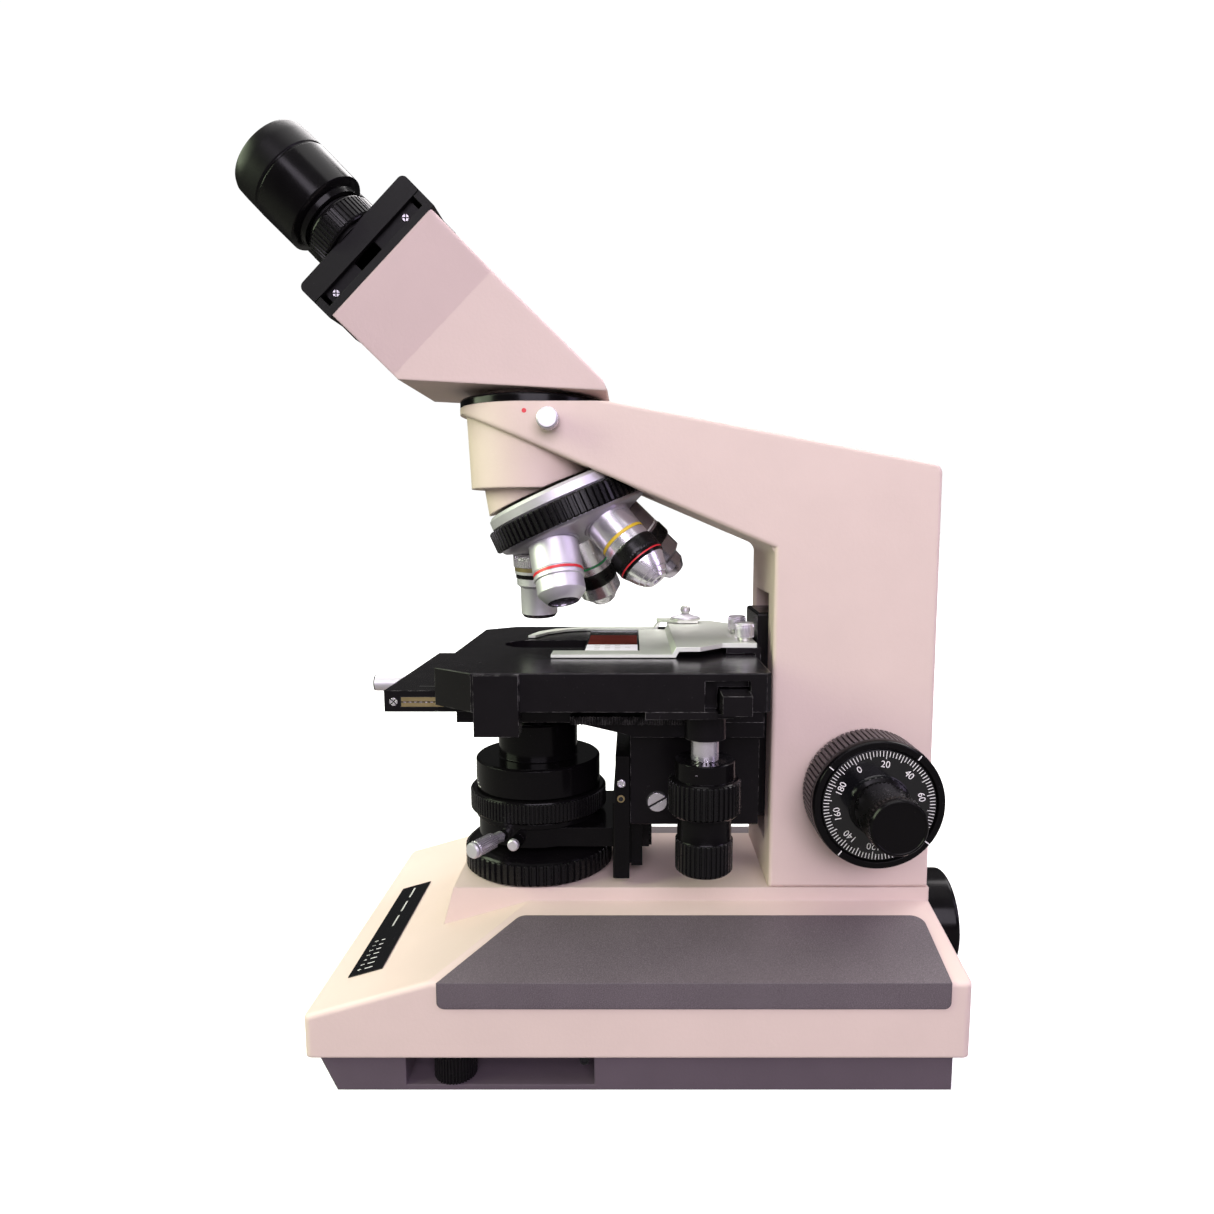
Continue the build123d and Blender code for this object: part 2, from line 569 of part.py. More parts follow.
# ---- turret and objectives -----------------------------------------------------
def objective_plane(index):
    """Frame on one objective's axis: origin at the apex, Z down the barrel."""
    t, f = radians(TILT), radians(TURRET_PHASE + index * 360.0 / OBJECTIVES)
    axis = (sin(t) * sin(f), sin(t) * cos(t) * (1 - cos(f)),
            -cos(t) * cos(t) - sin(t) * sin(t) * cos(f))
    return Plane(origin=(0, AXIS_Y, APEX_Z), x_dir=(cos(f), sin(f) * cos(t), sin(f) * sin(t)),
                 z_dir=axis)


def turret():
    body = turned([(0, 31.6), (38.6, 31.6), (40.4, 33.4), (40.4, 37.4), (39.4, 38.6), (0, 38.6)])
    body += fluted(43.2, 42.2, 90, 38.5, 49.5)
    body += turned([(0, 49.4), (42.2, 49.4), (39.6, 51.8), (39.6, 50.2), (14, 61.6), (0, 61.6)])
    body -= disc(36.0, 30, 44)
    body = turret_plane() * body
    for i in range(OBJECTIVES):
        body += objective_plane(i) * disc(13.3, 53.0, SEAT_S)
    for i in range(OBJECTIVES):
        body -= objective_plane(i) * disc(10.1, 40.0, SEAT_S + 1)
    body += turret_plane() * disc(8.4, 32.5, 50.0)
    return body - turret_plane() * disc(6.0 + SHAFT_GAP, 25, 50.3)


def objective(index, profile):
    """Barrel from (radius, distance past the shoulder) points, with its thread stub."""
    points = [(0, SEAT_S - 4.5), (10.1, SEAT_S - 4.5), (10.1, SEAT_S)]
    points += [(r, SEAT_S + s) for r, s in profile]
    return objective_plane(index) * turned(points)


def objective_10():
    return objective(0, [(13.2, 0), (13.2, 3.4), (12.4, 4.0), (12.4, 11.0), (11.6, 11.4),
                         (11.6, 17.4), (9.8, 18.4), (9.8, 33.4), (8.4, 35.0), (4.5, 35.0),
                         (4.5, 33.6), (0, 33.6)])


def objective_4():
    return objective(1, [(12.7, 0), (12.7, 19.0), (12.2, 19.4), (12.2, 26.4), (8.0, 31.0),
                         (6.0, 31.0), (6.0, 27.0), (0, 27.0)])


def objective_20():
    return objective(2, [(12.2, 0), (12.2, 19.0), (13.0, 19.6), (13.0, 28.4), (12.2, 29.0),
                         (11.6, 30.6), (7.0, 39.6), (5.5, 41.0), (2.5, 41.0), (2.5, 40.0),
                         (0, 40.0)])


def objective_100():
    return objective(3, [(12.2, 0), (12.2, 17.0), (12.8, 17.4), (12.8, 25.4), (11.6, 26.0),
                         (11.6, 34.0), (8.0, 36.0), (8.0, 40.5), (5.0, 44.7), (1.5, 44.7),
                         (1.5, 44.0), (0, 44.0)])


def objective_40():
    return objective(4, [(12.2, 0), (12.2, 21.0), (12.8, 21.4), (12.8, 30.0), (12.0, 30.4),
                         (12.0, 37.6), (8.0, 41.6), (6.0, 44.4), (2.0, 44.4), (2.0, 43.6),
                         (0, 43.6)])


# ---- head ------------------------------------------------------------------------
def head_plane():
    """Frame on the slide joint: x across, y up along the joint, z towards the eyes."""
    return Plane(origin=(0, HEAD_Y, HEAD_Z), x_dir=(1, 0, 0), z_dir=(0, -1, 1))


def head_housing():
    s = SLIDE_HALF_T / 2 ** 0.5
    outline = [(HEAD_Y - s, HEAD_Z - s), (HEAD_Y + s, HEAD_Z + s), (-16.8, 325.6),
               (-14.5, 320.3), (-114.0, 325.4)]
    body = prism_x(outline, -HEAD_HALF_X, HEAD_HALF_X)
    waist = 37.0
    plan = [(-HEAD_HALF_X, 1), (-HEAD_HALF_X, 0), (-waist, -35.8), (-waist, -150),
            (waist, -150), (waist, -35.8), (HEAD_HALF_X, 0), (HEAD_HALF_X, 1)]
    face = make_face(Polyline([(x, 0, n) for x, n in plan], close=True))
    body &= head_plane() * Pos(0, -90, 0) * extrude(face, amount=180, dir=(0, 1, 0))
    body = soften(body, lambda e: abs(abs(e.center().X) - 40) < 6 and e.length > 20
                  and abs(e.tangent_at(0.5).X) < 0.3 and e.center().Y > -85
                  and e.center().Z > 323, 2.0)
    body += disc(25.7, 301.0, 323.0, 0, AXIS_Y)
    body -= disc(12.0, 300.0, 340.0, 0, AXIS_Y)
    for x in (-EYE_X, EYE_X):
        body -= head_plane() * Pos(x, EYE_T, 0) * disc(9.0, -10, 2)
    return body


def head_frame():
    """Fixed half of the eyepiece slide, with its scale strip in the middle."""
    t = FRAME_HALF_T
    frame = block(-HEAD_HALF_X, HEAD_HALF_X, -t, t, 0, 3.6)
    for t0 in (-t, t - 3.8):
        frame += block(-HEAD_HALF_X, HEAD_HALF_X, t0, t0 + 3.8, 3.5, 9.2)
    frame += block(-9, 9, -t - 1.8, t + 1.8, 20.0, 21.4)
    for side in (-1, 1):
        y0, y1 = sorted((side * (t + 0.4), side * (t + 1.8)))
        frame += block(-5, 5, y0, y1, 0, 21.4)
        y0, y1 = sorted((side * (t - 1), side * (t + 1)))
        frame += block(-5, 5, y0, y1, 0, 3)
    for x in (-EYE_X, EYE_X):
        frame -= Pos(x, EYE_T, 0) * disc(11.0, -1, 5)
    return head_plane() * frame


def tube_right():
    t = FRAME_HALF_T
    tube = block(6.2, 42.0, -29.0, 29.0, 4.0, 8.8) + block(6.2, 42.0, -28.8, 28.8, 8.7, 9.8)
    cover = block(6.2, HEAD_HALF_X, -t, t, 9.6, 19.6)
    cover = soften(cover, lambda e: abs(e.center().Z - 19.6) < 0.1
                   and abs(abs(e.center().Y) - t) < 0.1, 3.0)
    tube += cover + Pos(EYE_X, EYE_T, 0) * disc(14.0, 19, 33.9)
    tube -= Pos(EYE_X, EYE_T, 0) * disc(12.0, 3, 40)
    return head_plane() * tube


def diopter_right():
    ring = fluted(17.4, 16.7, 48, 20.1, 32.0) - disc(14.3, 15, 35)
    return head_plane() * Pos(EYE_X, EYE_T, 0) * ring


def eyepiece_right():
    body = turned([(9.0, 10.0), (11.92, 10.0), (11.92, 34.2), (16.6, 34.2), (17.0, 36.6),
                   (21.2, 38.0), (21.2, 58.4), (20.6, 59.0), (20.6, 59.6), (21.2, 60.2),
                   (20.8, 73.0), (19.4, 74.7), (16.4, 74.7), (15.0, 71.8), (12.0, 70.6),
                   (0, 70.6), (0, 64.0), (9.0, 64.0)])
    return head_plane() * Pos(EYE_X, EYE_T, 0) * body


# ---- write every piece -------------------------------------------------------------
def left_of(make):
    return mirror(make(), Plane.YZ)


SINGLE = [base_casting, base_tray, rubber_feet, base_screws, hand_rest_right, front_panel,
          dimmer_unit, dimmer_wheel, lamp_cap, lamp_bulb, collector_lens, fold_mirror,
          field_lens, field_ring, power_inlet, arm_casting, focus_rail, head_seat, head_clamp,
          coarse_knob_right, coarse_shaft, fine_knob_right, fine_shaft, focus_slide,
          stage_bracket, stage_base_plate, stage_plate, drive_socket, y_knob, x_knob,
          x_carriage, holder_plate, holder_screws, specimen_slide, holder_finger,
          condenser_mount, condenser_barrel, condenser_lens, aperture_ring,
          centering_screw_right, condenser_clamp, condenser_knob, turret, objective_4,
          objective_10, objective_20, objective_40, objective_100, head_housing, head_frame,
          tube_right, diopter_right, eyepiece_right]
MIRRORED = [hand_rest_right, coarse_knob_right, fine_knob_right, centering_screw_right,
            tube_right, diopter_right, eyepiece_right]

for make in SINGLE:
    save(make.__name__, make())
for make in MIRRORED:
    save(make.__name__.replace("right", "left"), left_of(make))
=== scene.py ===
import json
from math import sin, cos, pi, radians

import bmesh
import bpy
from mathutils import Matrix, Vector


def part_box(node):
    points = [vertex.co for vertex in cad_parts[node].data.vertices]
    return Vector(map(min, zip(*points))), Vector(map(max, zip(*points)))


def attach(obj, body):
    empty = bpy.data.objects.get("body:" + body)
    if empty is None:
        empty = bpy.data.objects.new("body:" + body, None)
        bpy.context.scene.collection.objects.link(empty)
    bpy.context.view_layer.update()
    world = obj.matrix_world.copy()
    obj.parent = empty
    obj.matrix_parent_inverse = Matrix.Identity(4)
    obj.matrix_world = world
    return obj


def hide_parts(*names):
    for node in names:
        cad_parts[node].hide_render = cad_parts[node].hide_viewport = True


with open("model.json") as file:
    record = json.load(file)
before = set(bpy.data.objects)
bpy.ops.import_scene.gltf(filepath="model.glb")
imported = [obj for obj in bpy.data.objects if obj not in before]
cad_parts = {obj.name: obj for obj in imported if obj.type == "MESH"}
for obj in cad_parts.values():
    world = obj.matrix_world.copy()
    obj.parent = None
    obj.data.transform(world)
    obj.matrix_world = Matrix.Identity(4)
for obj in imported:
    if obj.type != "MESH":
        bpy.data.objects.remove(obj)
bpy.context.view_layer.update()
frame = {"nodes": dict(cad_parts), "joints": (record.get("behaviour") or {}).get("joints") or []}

MM = 0.001
CAMERA_AT = (0.4425, -0.0028, 0.2582)
CAMERA_PITCH = 7.0            # degrees below the horizon
FOCAL_LENGTH = 24.613
EDGE_WEAR_AND_GLINT = (0.5, 0.48, 0.47)      # lighter edges: bare metal where a finish has rubbed off, and painted edge highlights
scene = bpy.context.scene


# ---- shader helpers --------------------------------------------------------
def ramp(tree, source, stops):
    """Colour ramp of greys through (position, value) stops."""
    node = tree.nodes.new("ShaderNodeValToRGB")
    while len(node.color_ramp.elements) < len(stops):
        node.color_ramp.elements.new(0.5)
    for element, (pos, value) in zip(node.color_ramp.elements, stops):
        element.position = pos
        element.color = (value, value, value, 1)
    tree.links.new(source, node.inputs["Fac"])
    return node.outputs["Color"]


def noise(tree, scale, detail=3.0, stretch=(1, 1, 1), rough=0.55):
    """Noise in object space, so it stays on a piece that moves."""
    coords = tree.nodes.new("ShaderNodeTexCoord")
    mapping = tree.nodes.new("ShaderNodeMapping")
    mapping.inputs["Scale"].default_value = stretch
    node = tree.nodes.new("ShaderNodeTexNoise")
    node.inputs["Scale"].default_value = scale
    node.inputs["Detail"].default_value = detail
    node.inputs["Roughness"].default_value = rough
    tree.links.new(coords.outputs["Object"], mapping.inputs["Vector"])
    tree.links.new(mapping.outputs["Vector"], node.inputs["Vector"])
    return node.outputs["Fac"]


def mixed(tree, fac, a, b, blend="MIX"):
    """Mix of two colours; each input is a number, a colour or a socket."""
    node = tree.nodes.new("ShaderNodeMix")
    node.data_type, node.blend_type = "RGBA", blend
    for socket, value in (("Factor", fac), ("A", a), ("B", b)):
        target = [s for s in node.inputs if s.name == socket and
                  (s.type == "RGBA" if socket != "Factor" else s.type == "VALUE")][0]
        if isinstance(value, (int, float)):
            target.default_value = value
        elif isinstance(value, tuple):
            target.default_value = (*value, 1)
        else:
            tree.links.new(value, target)
    return [s for s in node.outputs if s.type == "RGBA"][0]


def maths(tree, op, a, b, clamp=False):
    node = tree.nodes.new("ShaderNodeMath")
    node.operation, node.use_clamp = op, clamp
    for i, value in enumerate((a, b)):
        if isinstance(value, (int, float)):
            node.inputs[i].default_value = value
        else:
            tree.links.new(value, node.inputs[i])
    return node.outputs[0]


def surface(name, color, rough=0.5, metal=0.0, mottle=0.06, grain=0.0, grain_size=1.0,
            dust=0.0, wear_and_glint=0.0, edge=0.0, coat=0.0, brushed=None, specular=0.5, sparkle=0.0):
    """Painted, plastic or metal finish: mottled colour, fine grain, dust, lighter edges for wear
    and painted edge highlights.
    """
    m = bpy.data.materials.new(name)
    m.use_nodes = True
    t = m.node_tree
    p = t.nodes["Principled BSDF"]
    tone = ramp(t, noise(t, 35.0, 5.0), [(0.3, 1 - mottle), (0.7, 1 + mottle)])
    col = mixed(t, 1.0, color, tone, "MULTIPLY")
    rough_out = ramp(t, noise(t, 140.0, 6.0), [(0.25, max(rough - 0.03, 0.02)),
                                                (0.75, min(rough + 0.04, 1.0))])
    if edge:
        bevel = t.nodes.new("ShaderNodeBevel")
        bevel.samples = 4
        bevel.inputs["Radius"].default_value = edge * MM
    # Edges mixed toward a light grey: partly wear, partly painted highlights along the edges.
    if wear_and_glint:
        geo = t.nodes.new("ShaderNodeNewGeometry")
        wide = t.nodes.new("ShaderNodeBevel")
        wide.samples = 4
        wide.inputs["Radius"].default_value = 0.45 * MM
        dot = t.nodes.new("ShaderNodeVectorMath")
        dot.operation = "DOT_PRODUCT"
        t.links.new(wide.outputs[0], dot.inputs[0])
        t.links.new(geo.outputs["Normal"], dot.inputs[1])
        near = ramp(t, dot.outputs["Value"], [(0.93, 1.0), (0.99, 0.0)])
        patch = ramp(t, noise(t, 220.0, 6.0), [(0.42, 0.0), (0.6, 1.0)])
        mask = maths(t, "MULTIPLY", maths(t, "MULTIPLY", near, patch), wear_and_glint, True)
        col = mixed(t, mask, col, EDGE_WEAR_AND_GLINT)
    if dust:
        speck = ramp(t, noise(t, 1300.0, 1.0, rough=0.3), [(0.79, 0.0), (0.82, 1.0)])
        film = ramp(t, noise(t, 60.0, 6.0), [(0.5, 0.0), (0.9, 0.03)])
        mask = maths(t, "MULTIPLY", maths(t, "ADD", speck, film), dust, True)
        col = mixed(t, mask, col, (0.55, 0.52, 0.5))
    if sparkle:
        grains = ramp(t, noise(t, 2600.0, 2.0, rough=0.8), [(0.45, 0.0), (0.68, 1.0)])
        col = mixed(t, maths(t, "MULTIPLY", grains, sparkle), col, (0.62, 0.56, 0.58))
    t.links.new(col, p.inputs["Base Color"])
    t.links.new(rough_out, p.inputs["Roughness"])
    p.inputs["Metallic"].default_value = metal
    p.inputs["Specular IOR Level"].default_value = specular
    p.inputs["Coat Weight"].default_value = coat
    p.inputs["Coat Roughness"].default_value = 0.18
    height = None
    if grain:
        height = noise(t, 900.0 / grain_size, 4.0)
    if brushed:
        height = noise(t, 700.0, 3.0, brushed)
        grain = max(grain, 0.12)
    if height is not None:
        bump = t.nodes.new("ShaderNodeBump")
        bump.inputs["Strength"].default_value = grain
        bump.inputs["Distance"].default_value = 0.25 * MM * grain_size
        t.links.new(height, bump.inputs["Height"])
        if edge:
            t.links.new(bevel.outputs[0], bump.inputs["Normal"])
        t.links.new(bump.outputs["Normal"], p.inputs["Normal"])
    elif edge:
        t.links.new(bevel.outputs[0], p.inputs["Normal"])
    return m


def clear(name, color):
    """Clear glass."""
    m = surface(name, color, rough=0.02, mottle=0.01)
    p = m.node_tree.nodes["Principled BSDF"]
    p.inputs["Transmission Weight"].default_value = 1.0
    p.inputs["IOR"].default_value = 1.5
    return m


PAINT = surface("stand_enamel", (0.66, 0.525, 0.475), rough=0.45, mottle=0.02, grain=0.22,
                grain_size=1.5, edge=1.3, specular=0.25)
# The stand's beige enamel, made darker for the head to stand in for the lesser light falling on it:
# painted shade.
HEAD_PAINT_SHADED = surface("head_enamel_painted_shade", (0.60, 0.468, 0.438), rough=0.45, mottle=0.02, grain=0.22,
                     grain_size=1.5, edge=1.3, specular=0.25)
PAD = surface("grip_grain", (0.085, 0.066, 0.077), rough=0.55, mottle=0.10, grain=0.5,
              grain_size=0.9, sparkle=0.16, edge=0.8, specular=0.45)
TRAY = surface("tray_enamel", (0.098, 0.073, 0.090), rough=0.6, mottle=0.06, grain=0.3,
               grain_size=1.2, dust=0.04, edge=0.8)
# Its lighter edges are painted edge highlights as well as wear.
STAGE = surface("stage_black", (0.0065, 0.0055, 0.0065), rough=0.24, mottle=0.12, grain=0.05,
                grain_size=1.6, dust=0.05, wear_and_glint=0.35, edge=0.35, specular=0.13)
PLATE = surface("holder_grey", (0.70, 0.72, 0.65), rough=0.4, metal=0.55, mottle=0.05,
                grain=0.06, dust=0.03, edge=0.3)
ANODISED = surface("anodised_black", (0.0035, 0.003, 0.0035), rough=0.17, mottle=0.1, dust=0.03,
                   edge=0.35, specular=0.14)
KNURL = surface("knurled_black", (0.005, 0.0045, 0.005), rough=0.27, mottle=0.1, edge=0.15,
                specular=0.24)
RIB = surface("ribbed_brown", (0.066, 0.053, 0.056), rough=0.4, mottle=0.08, dust=0.06, edge=0.3,
              specular=0.3)
RUBBER = surface("soft_black", (0.0045, 0.004, 0.0045), rough=0.36, mottle=0.1, grain=0.06,
                 dust=0.04, edge=0.4, specular=0.13)
PLASTIC = surface("moulded_black", (0.006, 0.005, 0.006), rough=0.28, mottle=0.1, dust=0.04,
                  edge=0.3, specular=0.22)
SATIN = surface("satin_black", (0.005, 0.0045, 0.005), rough=0.48, mottle=0.1, grain=0.1,
                dust=0.03, edge=0.35, specular=0.16)
GLOSS = surface("gloss_black", (0.004, 0.004, 0.005), rough=0.1, mottle=0.05, dust=0.03,
                coat=0.35, edge=0.3)
SILVER = surface("satin_silver", (0.66, 0.63, 0.68), rough=0.46, metal=0.75, mottle=0.03,
                 dust=0.02, edge=0.2, brushed=(1, 1, 14))
CHROME = surface("bright_chrome", (0.76, 0.72, 0.78), rough=0.24, metal=0.8, mottle=0.03,
                 dust=0.02, edge=0.2)
DARK_CHROME = surface("dark_chrome", (0.36, 0.33, 0.38), rough=0.24, metal=0.9, mottle=0.05,
                      dust=0.02, edge=0.2)
STEEL = surface("ground_steel", (0.58, 0.55, 0.57), rough=0.3, metal=0.85, mottle=0.05,
                brushed=(1, 1, 10), edge=0.2)
GOLD = surface("roller_brass", (0.40, 0.31, 0.16), rough=0.35, metal=0.9, mottle=0.2,
               brushed=(1, 6, 1))
VIOLET = surface("cone_grey", (0.44, 0.41, 0.47), rough=0.32, metal=0.8, mottle=0.04,
                 dust=0.03, edge=0.3)
WHITE = surface("white_mark", (0.82, 0.80, 0.78), rough=0.6, mottle=0.05)
DIM_WHITE = surface("worn_mark", (0.45, 0.44, 0.43), rough=0.6, mottle=0.2)
RED = surface("red_mark", (0.62, 0.02, 0.03), rough=0.4, mottle=0.05)
YELLOW = surface("yellow_mark", (0.70, 0.47, 0.03), rough=0.4, mottle=0.05)
GREEN = surface("green_mark", (0.03, 0.30, 0.10), rough=0.4, mottle=0.05)
# Near-black faces put in slots, holes and hollows where only shade falls: painted shade, not a
# finish of the part.
HOLE_SHADE = surface("painted_hole_shade", (0.004, 0.004, 0.004), rough=0.8, mottle=0.1)
PAPER = surface("label_paper", (0.90, 0.86, 0.92), rough=0.8, mottle=0.04, grain=0.1)
TISSUE = surface("stained_section", (0.10, 0.022, 0.018), rough=0.9, mottle=0.3, specular=0.0)
LENS = surface("coated_lens", (0.02, 0.018, 0.035), rough=0.05, mottle=0.1, coat=1.0)
MIRROR = surface("silvered_glass", (0.85, 0.85, 0.86), rough=0.03, metal=1.0, mottle=0.01)
GLASS = clear("clear_glass", (0.93, 0.95, 0.95))

CAD_FINISH = {
    PAINT: "base_casting arm_casting",
    HEAD_PAINT_SHADED: "head_housing",
    TRAY: "base_tray",
    PAD: "hand_rest_right hand_rest_left",
    RUBBER: "rubber_feet",
    STEEL: "base_screws focus_rail coarse_shaft fine_shaft",
    GLOSS: "front_panel",
    PLASTIC: "dimmer_unit dimmer_wheel power_inlet",
    ANODISED: "lamp_cap head_seat condenser_mount",
    SATIN: "head_frame tube_right tube_left",
    STAGE: "focus_slide stage_bracket stage_base_plate stage_plate drive_socket x_carriage",
    PLATE: "holder_plate holder_finger",
    KNURL: "condenser_knob",
    GLASS: "lamp_bulb collector_lens field_lens condenser_lens specimen_slide",
    MIRROR: "fold_mirror",
}
for material, names in CAD_FINISH.items():
    for name in names.split():
        node = frame["nodes"][name]
        node.data.materials.clear()
        node.data.materials.append(material)
        node.data.shade_smooth()
        node.data.set_sharp_from_angle(angle=radians(28))


# ---- mesh helpers ----------------------------------------------------------
def place(origin, x, z):
    """Matrix of a local frame given in millimetres."""
    z = Vector(z).normalized()
    y = z.cross(Vector(x)).normalized()
    x = y.cross(z)
    m = Matrix((x, y, z)).transposed().to_4x4()
    m.translation = Vector(origin)
    return m


class Piece:
    """A mesh put together from turned, ribbed and prismatic parts, in millimetres."""

    def __init__(self, name):
        self.name, self.bm, self.mats = name, bmesh.new(), []

    def index(self, material):
        if material not in self.mats:
            self.mats.append(material)
        return self.mats.index(material)

    def vert(self, at, x, y, z):
        return self.bm.verts.new((at @ Vector((x, y, z))) * MM)

    def face(self, verts, material):
        f = self.bm.faces.new(verts)
        f.material_index = self.index(material)
        f.smooth = True

    def ring(self, at, r, s, count):
        return [self.vert(at, r * cos(2 * pi * i / count), r * sin(2 * pi * i / count), s)
                for i in range(count)]

    def bridge(self, a, b, material):
        n = len(a)
        for i in range(n):
            self.face([a[i], a[(i + 1) % n], b[(i + 1) % n], b[i]], material)

    def turned(self, at, material, profile, count=96):
        """Solid of revolution from (s, r) points; r of 0 closes it."""
        last = None
        for s, r in profile:
            now = self.ring(at, r, s, count) if r else [self.vert(at, 0, 0, s)]
            if last is not None:
                if len(last) == 1 or len(now) == 1:
                    rim, tip = (now, last[0]) if len(last) == 1 else (last, now[0])
                    for i in range(count):
                        self.face([rim[i], rim[(i + 1) % count], tip], material)
                else:
                    self.bridge(last, now, material)
            last = now

    def ribbed(self, at, material, s0, s1, tip, root, count, lip=0.4, lid=None, land=0.48):
        """Straight flutes along the axis with softened ends and a lid at each end."""
        def outline(s, drop):
            verts = []
            for i in range(count):
                for part, r in ((0.0, root), (0.14, tip), (0.14 + land, tip), (0.28 + land, root)):
                    a = 2 * pi * (i + part) / count
                    verts.append(self.vert(at, (r - drop) * cos(a), (r - drop) * sin(a), s))
            return verts
        inner = root - 2.5 if lid is None else lid
        rows = [self.ring(at, inner, s0, 4 * count), outline(s0, lip), outline(s0 + lip, 0),
                outline(s1 - lip, 0), outline(s1, lip), self.ring(at, inner, s1, 4 * count)]
        for a, b in zip(rows, rows[1:]):
            self.bridge(a, b, material)

    def knurled(self, at, material, s0, s1, r, depth, count, rows, lid=None):
        """Diamond knurl: a net of raised points, with a lid at each end."""
        step = (s1 - s0) / rows
        grid = []
        half = pi / count
        for j in range(rows + 1):
            line = []
            for k in range(2 * count):
                low = (j + k) % 2 or j in (0, rows)
                now = r - depth if low else r
                line.append(self.vert(at, now * cos(k * half), now * sin(k * half),
                                      s0 + j * step))
            grid.append(line)
        inner = r - depth - 2.0 if lid is None else lid
        rim = [self.ring(at, inner, s, 2 * count) for s in (s0, s1)]
        for a, b in zip([rim[0]] + grid, grid + [rim[1]]):
            self.bridge(a, b, material)

    def prism(self, at, material, outline, z0, z1):
        """Straight-sided block over an outline of (x, y) points."""
        low = [self.vert(at, x, y, z0) for x, y in outline]
        high = [self.vert(at, x, y, z1) for x, y in outline]
        self.face(list(reversed(low)), material)
        self.face(high, material)
        self.bridge(low, high, material)

    def slab(self, at, material, x0, x1, y0, y1, z0, z1):
        self.prism(at, material, [(x0, y0), (x1, y0), (x1, y1), (x0, y1)], z0, z1)

    def screw(self, at, material, r, height, slot=0.8, cross=False):
        """Screw head standing on the local z = 0 plane, with a real slot or cross."""
        floor = height * 0.45
        self.turned(at, material, [(0, r), (floor, r)], 40)
        # Floor of the slot drawn near-black: painted shade in the slot.
        self.turned(at, HOLE_SHADE, [(floor, r), (floor, 0)], 40)
        quarters = 4 if cross else 2
        gap = slot / 2
        for q in range(quarters):
            span = 2 * pi / quarters
            base = q * span + (pi / 4 if cross else pi / 6)
            pts, a0 = [], gap / r
            for i in range(13):
                a = base + a0 + (span - 2 * a0) * i / 12
                pts.append((r * 0.985 * cos(a), r * 0.985 * sin(a)))
            if cross:
                mid = base + span / 2
                pts.append((1.42 * gap * cos(mid), 1.42 * gap * sin(mid)))
            self.prism(at, material, pts, floor - 0.05, height)

    def done(self, body, replaces=(), smooth=30.0):
        """Turn the piece into an object that rides on a body of the frame."""
        bmesh.ops.remove_doubles(self.bm, verts=self.bm.verts, dist=1e-6)
        bmesh.ops.recalc_face_normals(self.bm, faces=self.bm.faces)
        mesh = bpy.data.meshes.new(self.name)
        self.bm.to_mesh(mesh)
        self.bm.free()
        for m in self.mats:
            mesh.materials.append(m)
        mesh.set_sharp_from_angle(angle=radians(smooth))
        obj = bpy.data.objects.new(self.name, mesh)
        scene.collection.objects.link(obj)
        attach(obj, body)
        if replaces:
            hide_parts(*replaces)
        return obj


def lettering(piece, at, material, text, size, x, y, turn=0.0, height=0.12):
    """Figures as flat faces that height above the local plane, centred on (x, y)."""
    curve = bpy.data.curves.new("figures", "FONT")
    curve.body, curve.size = text, size
    curve.align_x, curve.align_y = "CENTER", "CENTER"
    curve.resolution_u = 4
    holder = bpy.data.objects.new("figures", curve)
    scene.collection.objects.link(holder)
    bpy.context.view_layer.update()
    mesh = bpy.data.meshes.new_from_object(holder)
    c, s = cos(turn), sin(turn)
    verts = [piece.vert(at, x + c * v.co.x - s * v.co.y, y + s * v.co.x + c * v.co.y, height)
             for v in mesh.vertices]
    for poly in mesh.polygons:
        piece.face([verts[i] for i in poly.vertices], material)
    bpy.data.objects.remove(holder)
    bpy.data.curves.remove(curve)
    bpy.data.meshes.remove(mesh)


# ---- shared places (millimetres) -------------------------------------------
joints = {joint["name"]: joint for joint in frame["joints"]}


def pivot(name):
    """Pivot of a joint in millimetres."""
    return [value / MM for value in joints[name]["pos_m"]]


def top_of(node):
    """Height of a CAD node's top in millimetres."""
    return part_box(node)[1][2] / MM


def right_of(node):
    """X of a CAD node's right side in millimetres."""
    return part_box(node)[1][0] / MM


AXIS_Y = pivot("aperture_turn")[1]
EYE_X, EYE_T = 32.0, -2.5         # eyepiece axes from the middle of the joint
SCREW_Z, SCREW_ANGLE, CLIP_ANGLE = 96.5, -30.0, -12.0      # condenser screws
HOLDER_SCREWS = ((27.0, 54.0), (-4.0, 54.0))                # x and y
FOCUS = pivot("coarse_turn")[1:]
UP = Matrix.Translation((0, AXIS_Y, 0))
HEAD = place((0, -117.6, 376.4), (1, 0, 0), (0, -1, 1))    # top face of the head, 45 degrees
TILT = radians(24.0)              # turret axis from the optical axis, and half its cone
PLACES, FIRST_PLACE = 5, -12.0    # objectives, and the angle of the first one at rest
SHOULDER = 62.0                   # from the meeting point of the axes to an objective's seat
NOSE_Z = pivot("turret_turn")[2]
TURRET = place((0, AXIS_Y, NOSE_Z), (1, 0, 0), (0, sin(TILT), -cos(TILT)))


def objective_at(index):
    """Frame of an objective: origin where all the axes meet, z down its axis."""
    f = radians(FIRST_PLACE + index * 360.0 / PLACES)
    axis = (sin(TILT) * sin(f), sin(TILT) * cos(TILT) * (1 - cos(f)),
            -cos(TILT) ** 2 - sin(TILT) ** 2 * cos(f))
    return place((0, AXIS_Y, NOSE_Z), (cos(f), sin(f) * cos(TILT), sin(f) * sin(TILT)), axis)


def radial(centre, z, angle):
    """Frame on that centre line at height z, local z outwards at that angle."""
    return centre @ Matrix.Translation((0, 0, z)) @ Matrix.Rotation(angle, 4, "Z") \
        @ Matrix.Rotation(pi / 2, 4, "Y")


def sideways(side, x, y, z):
    """Local z outwards along X on that side, local y up."""
    return place((x, y, z), (0, side, 0), (side, 0, 0))


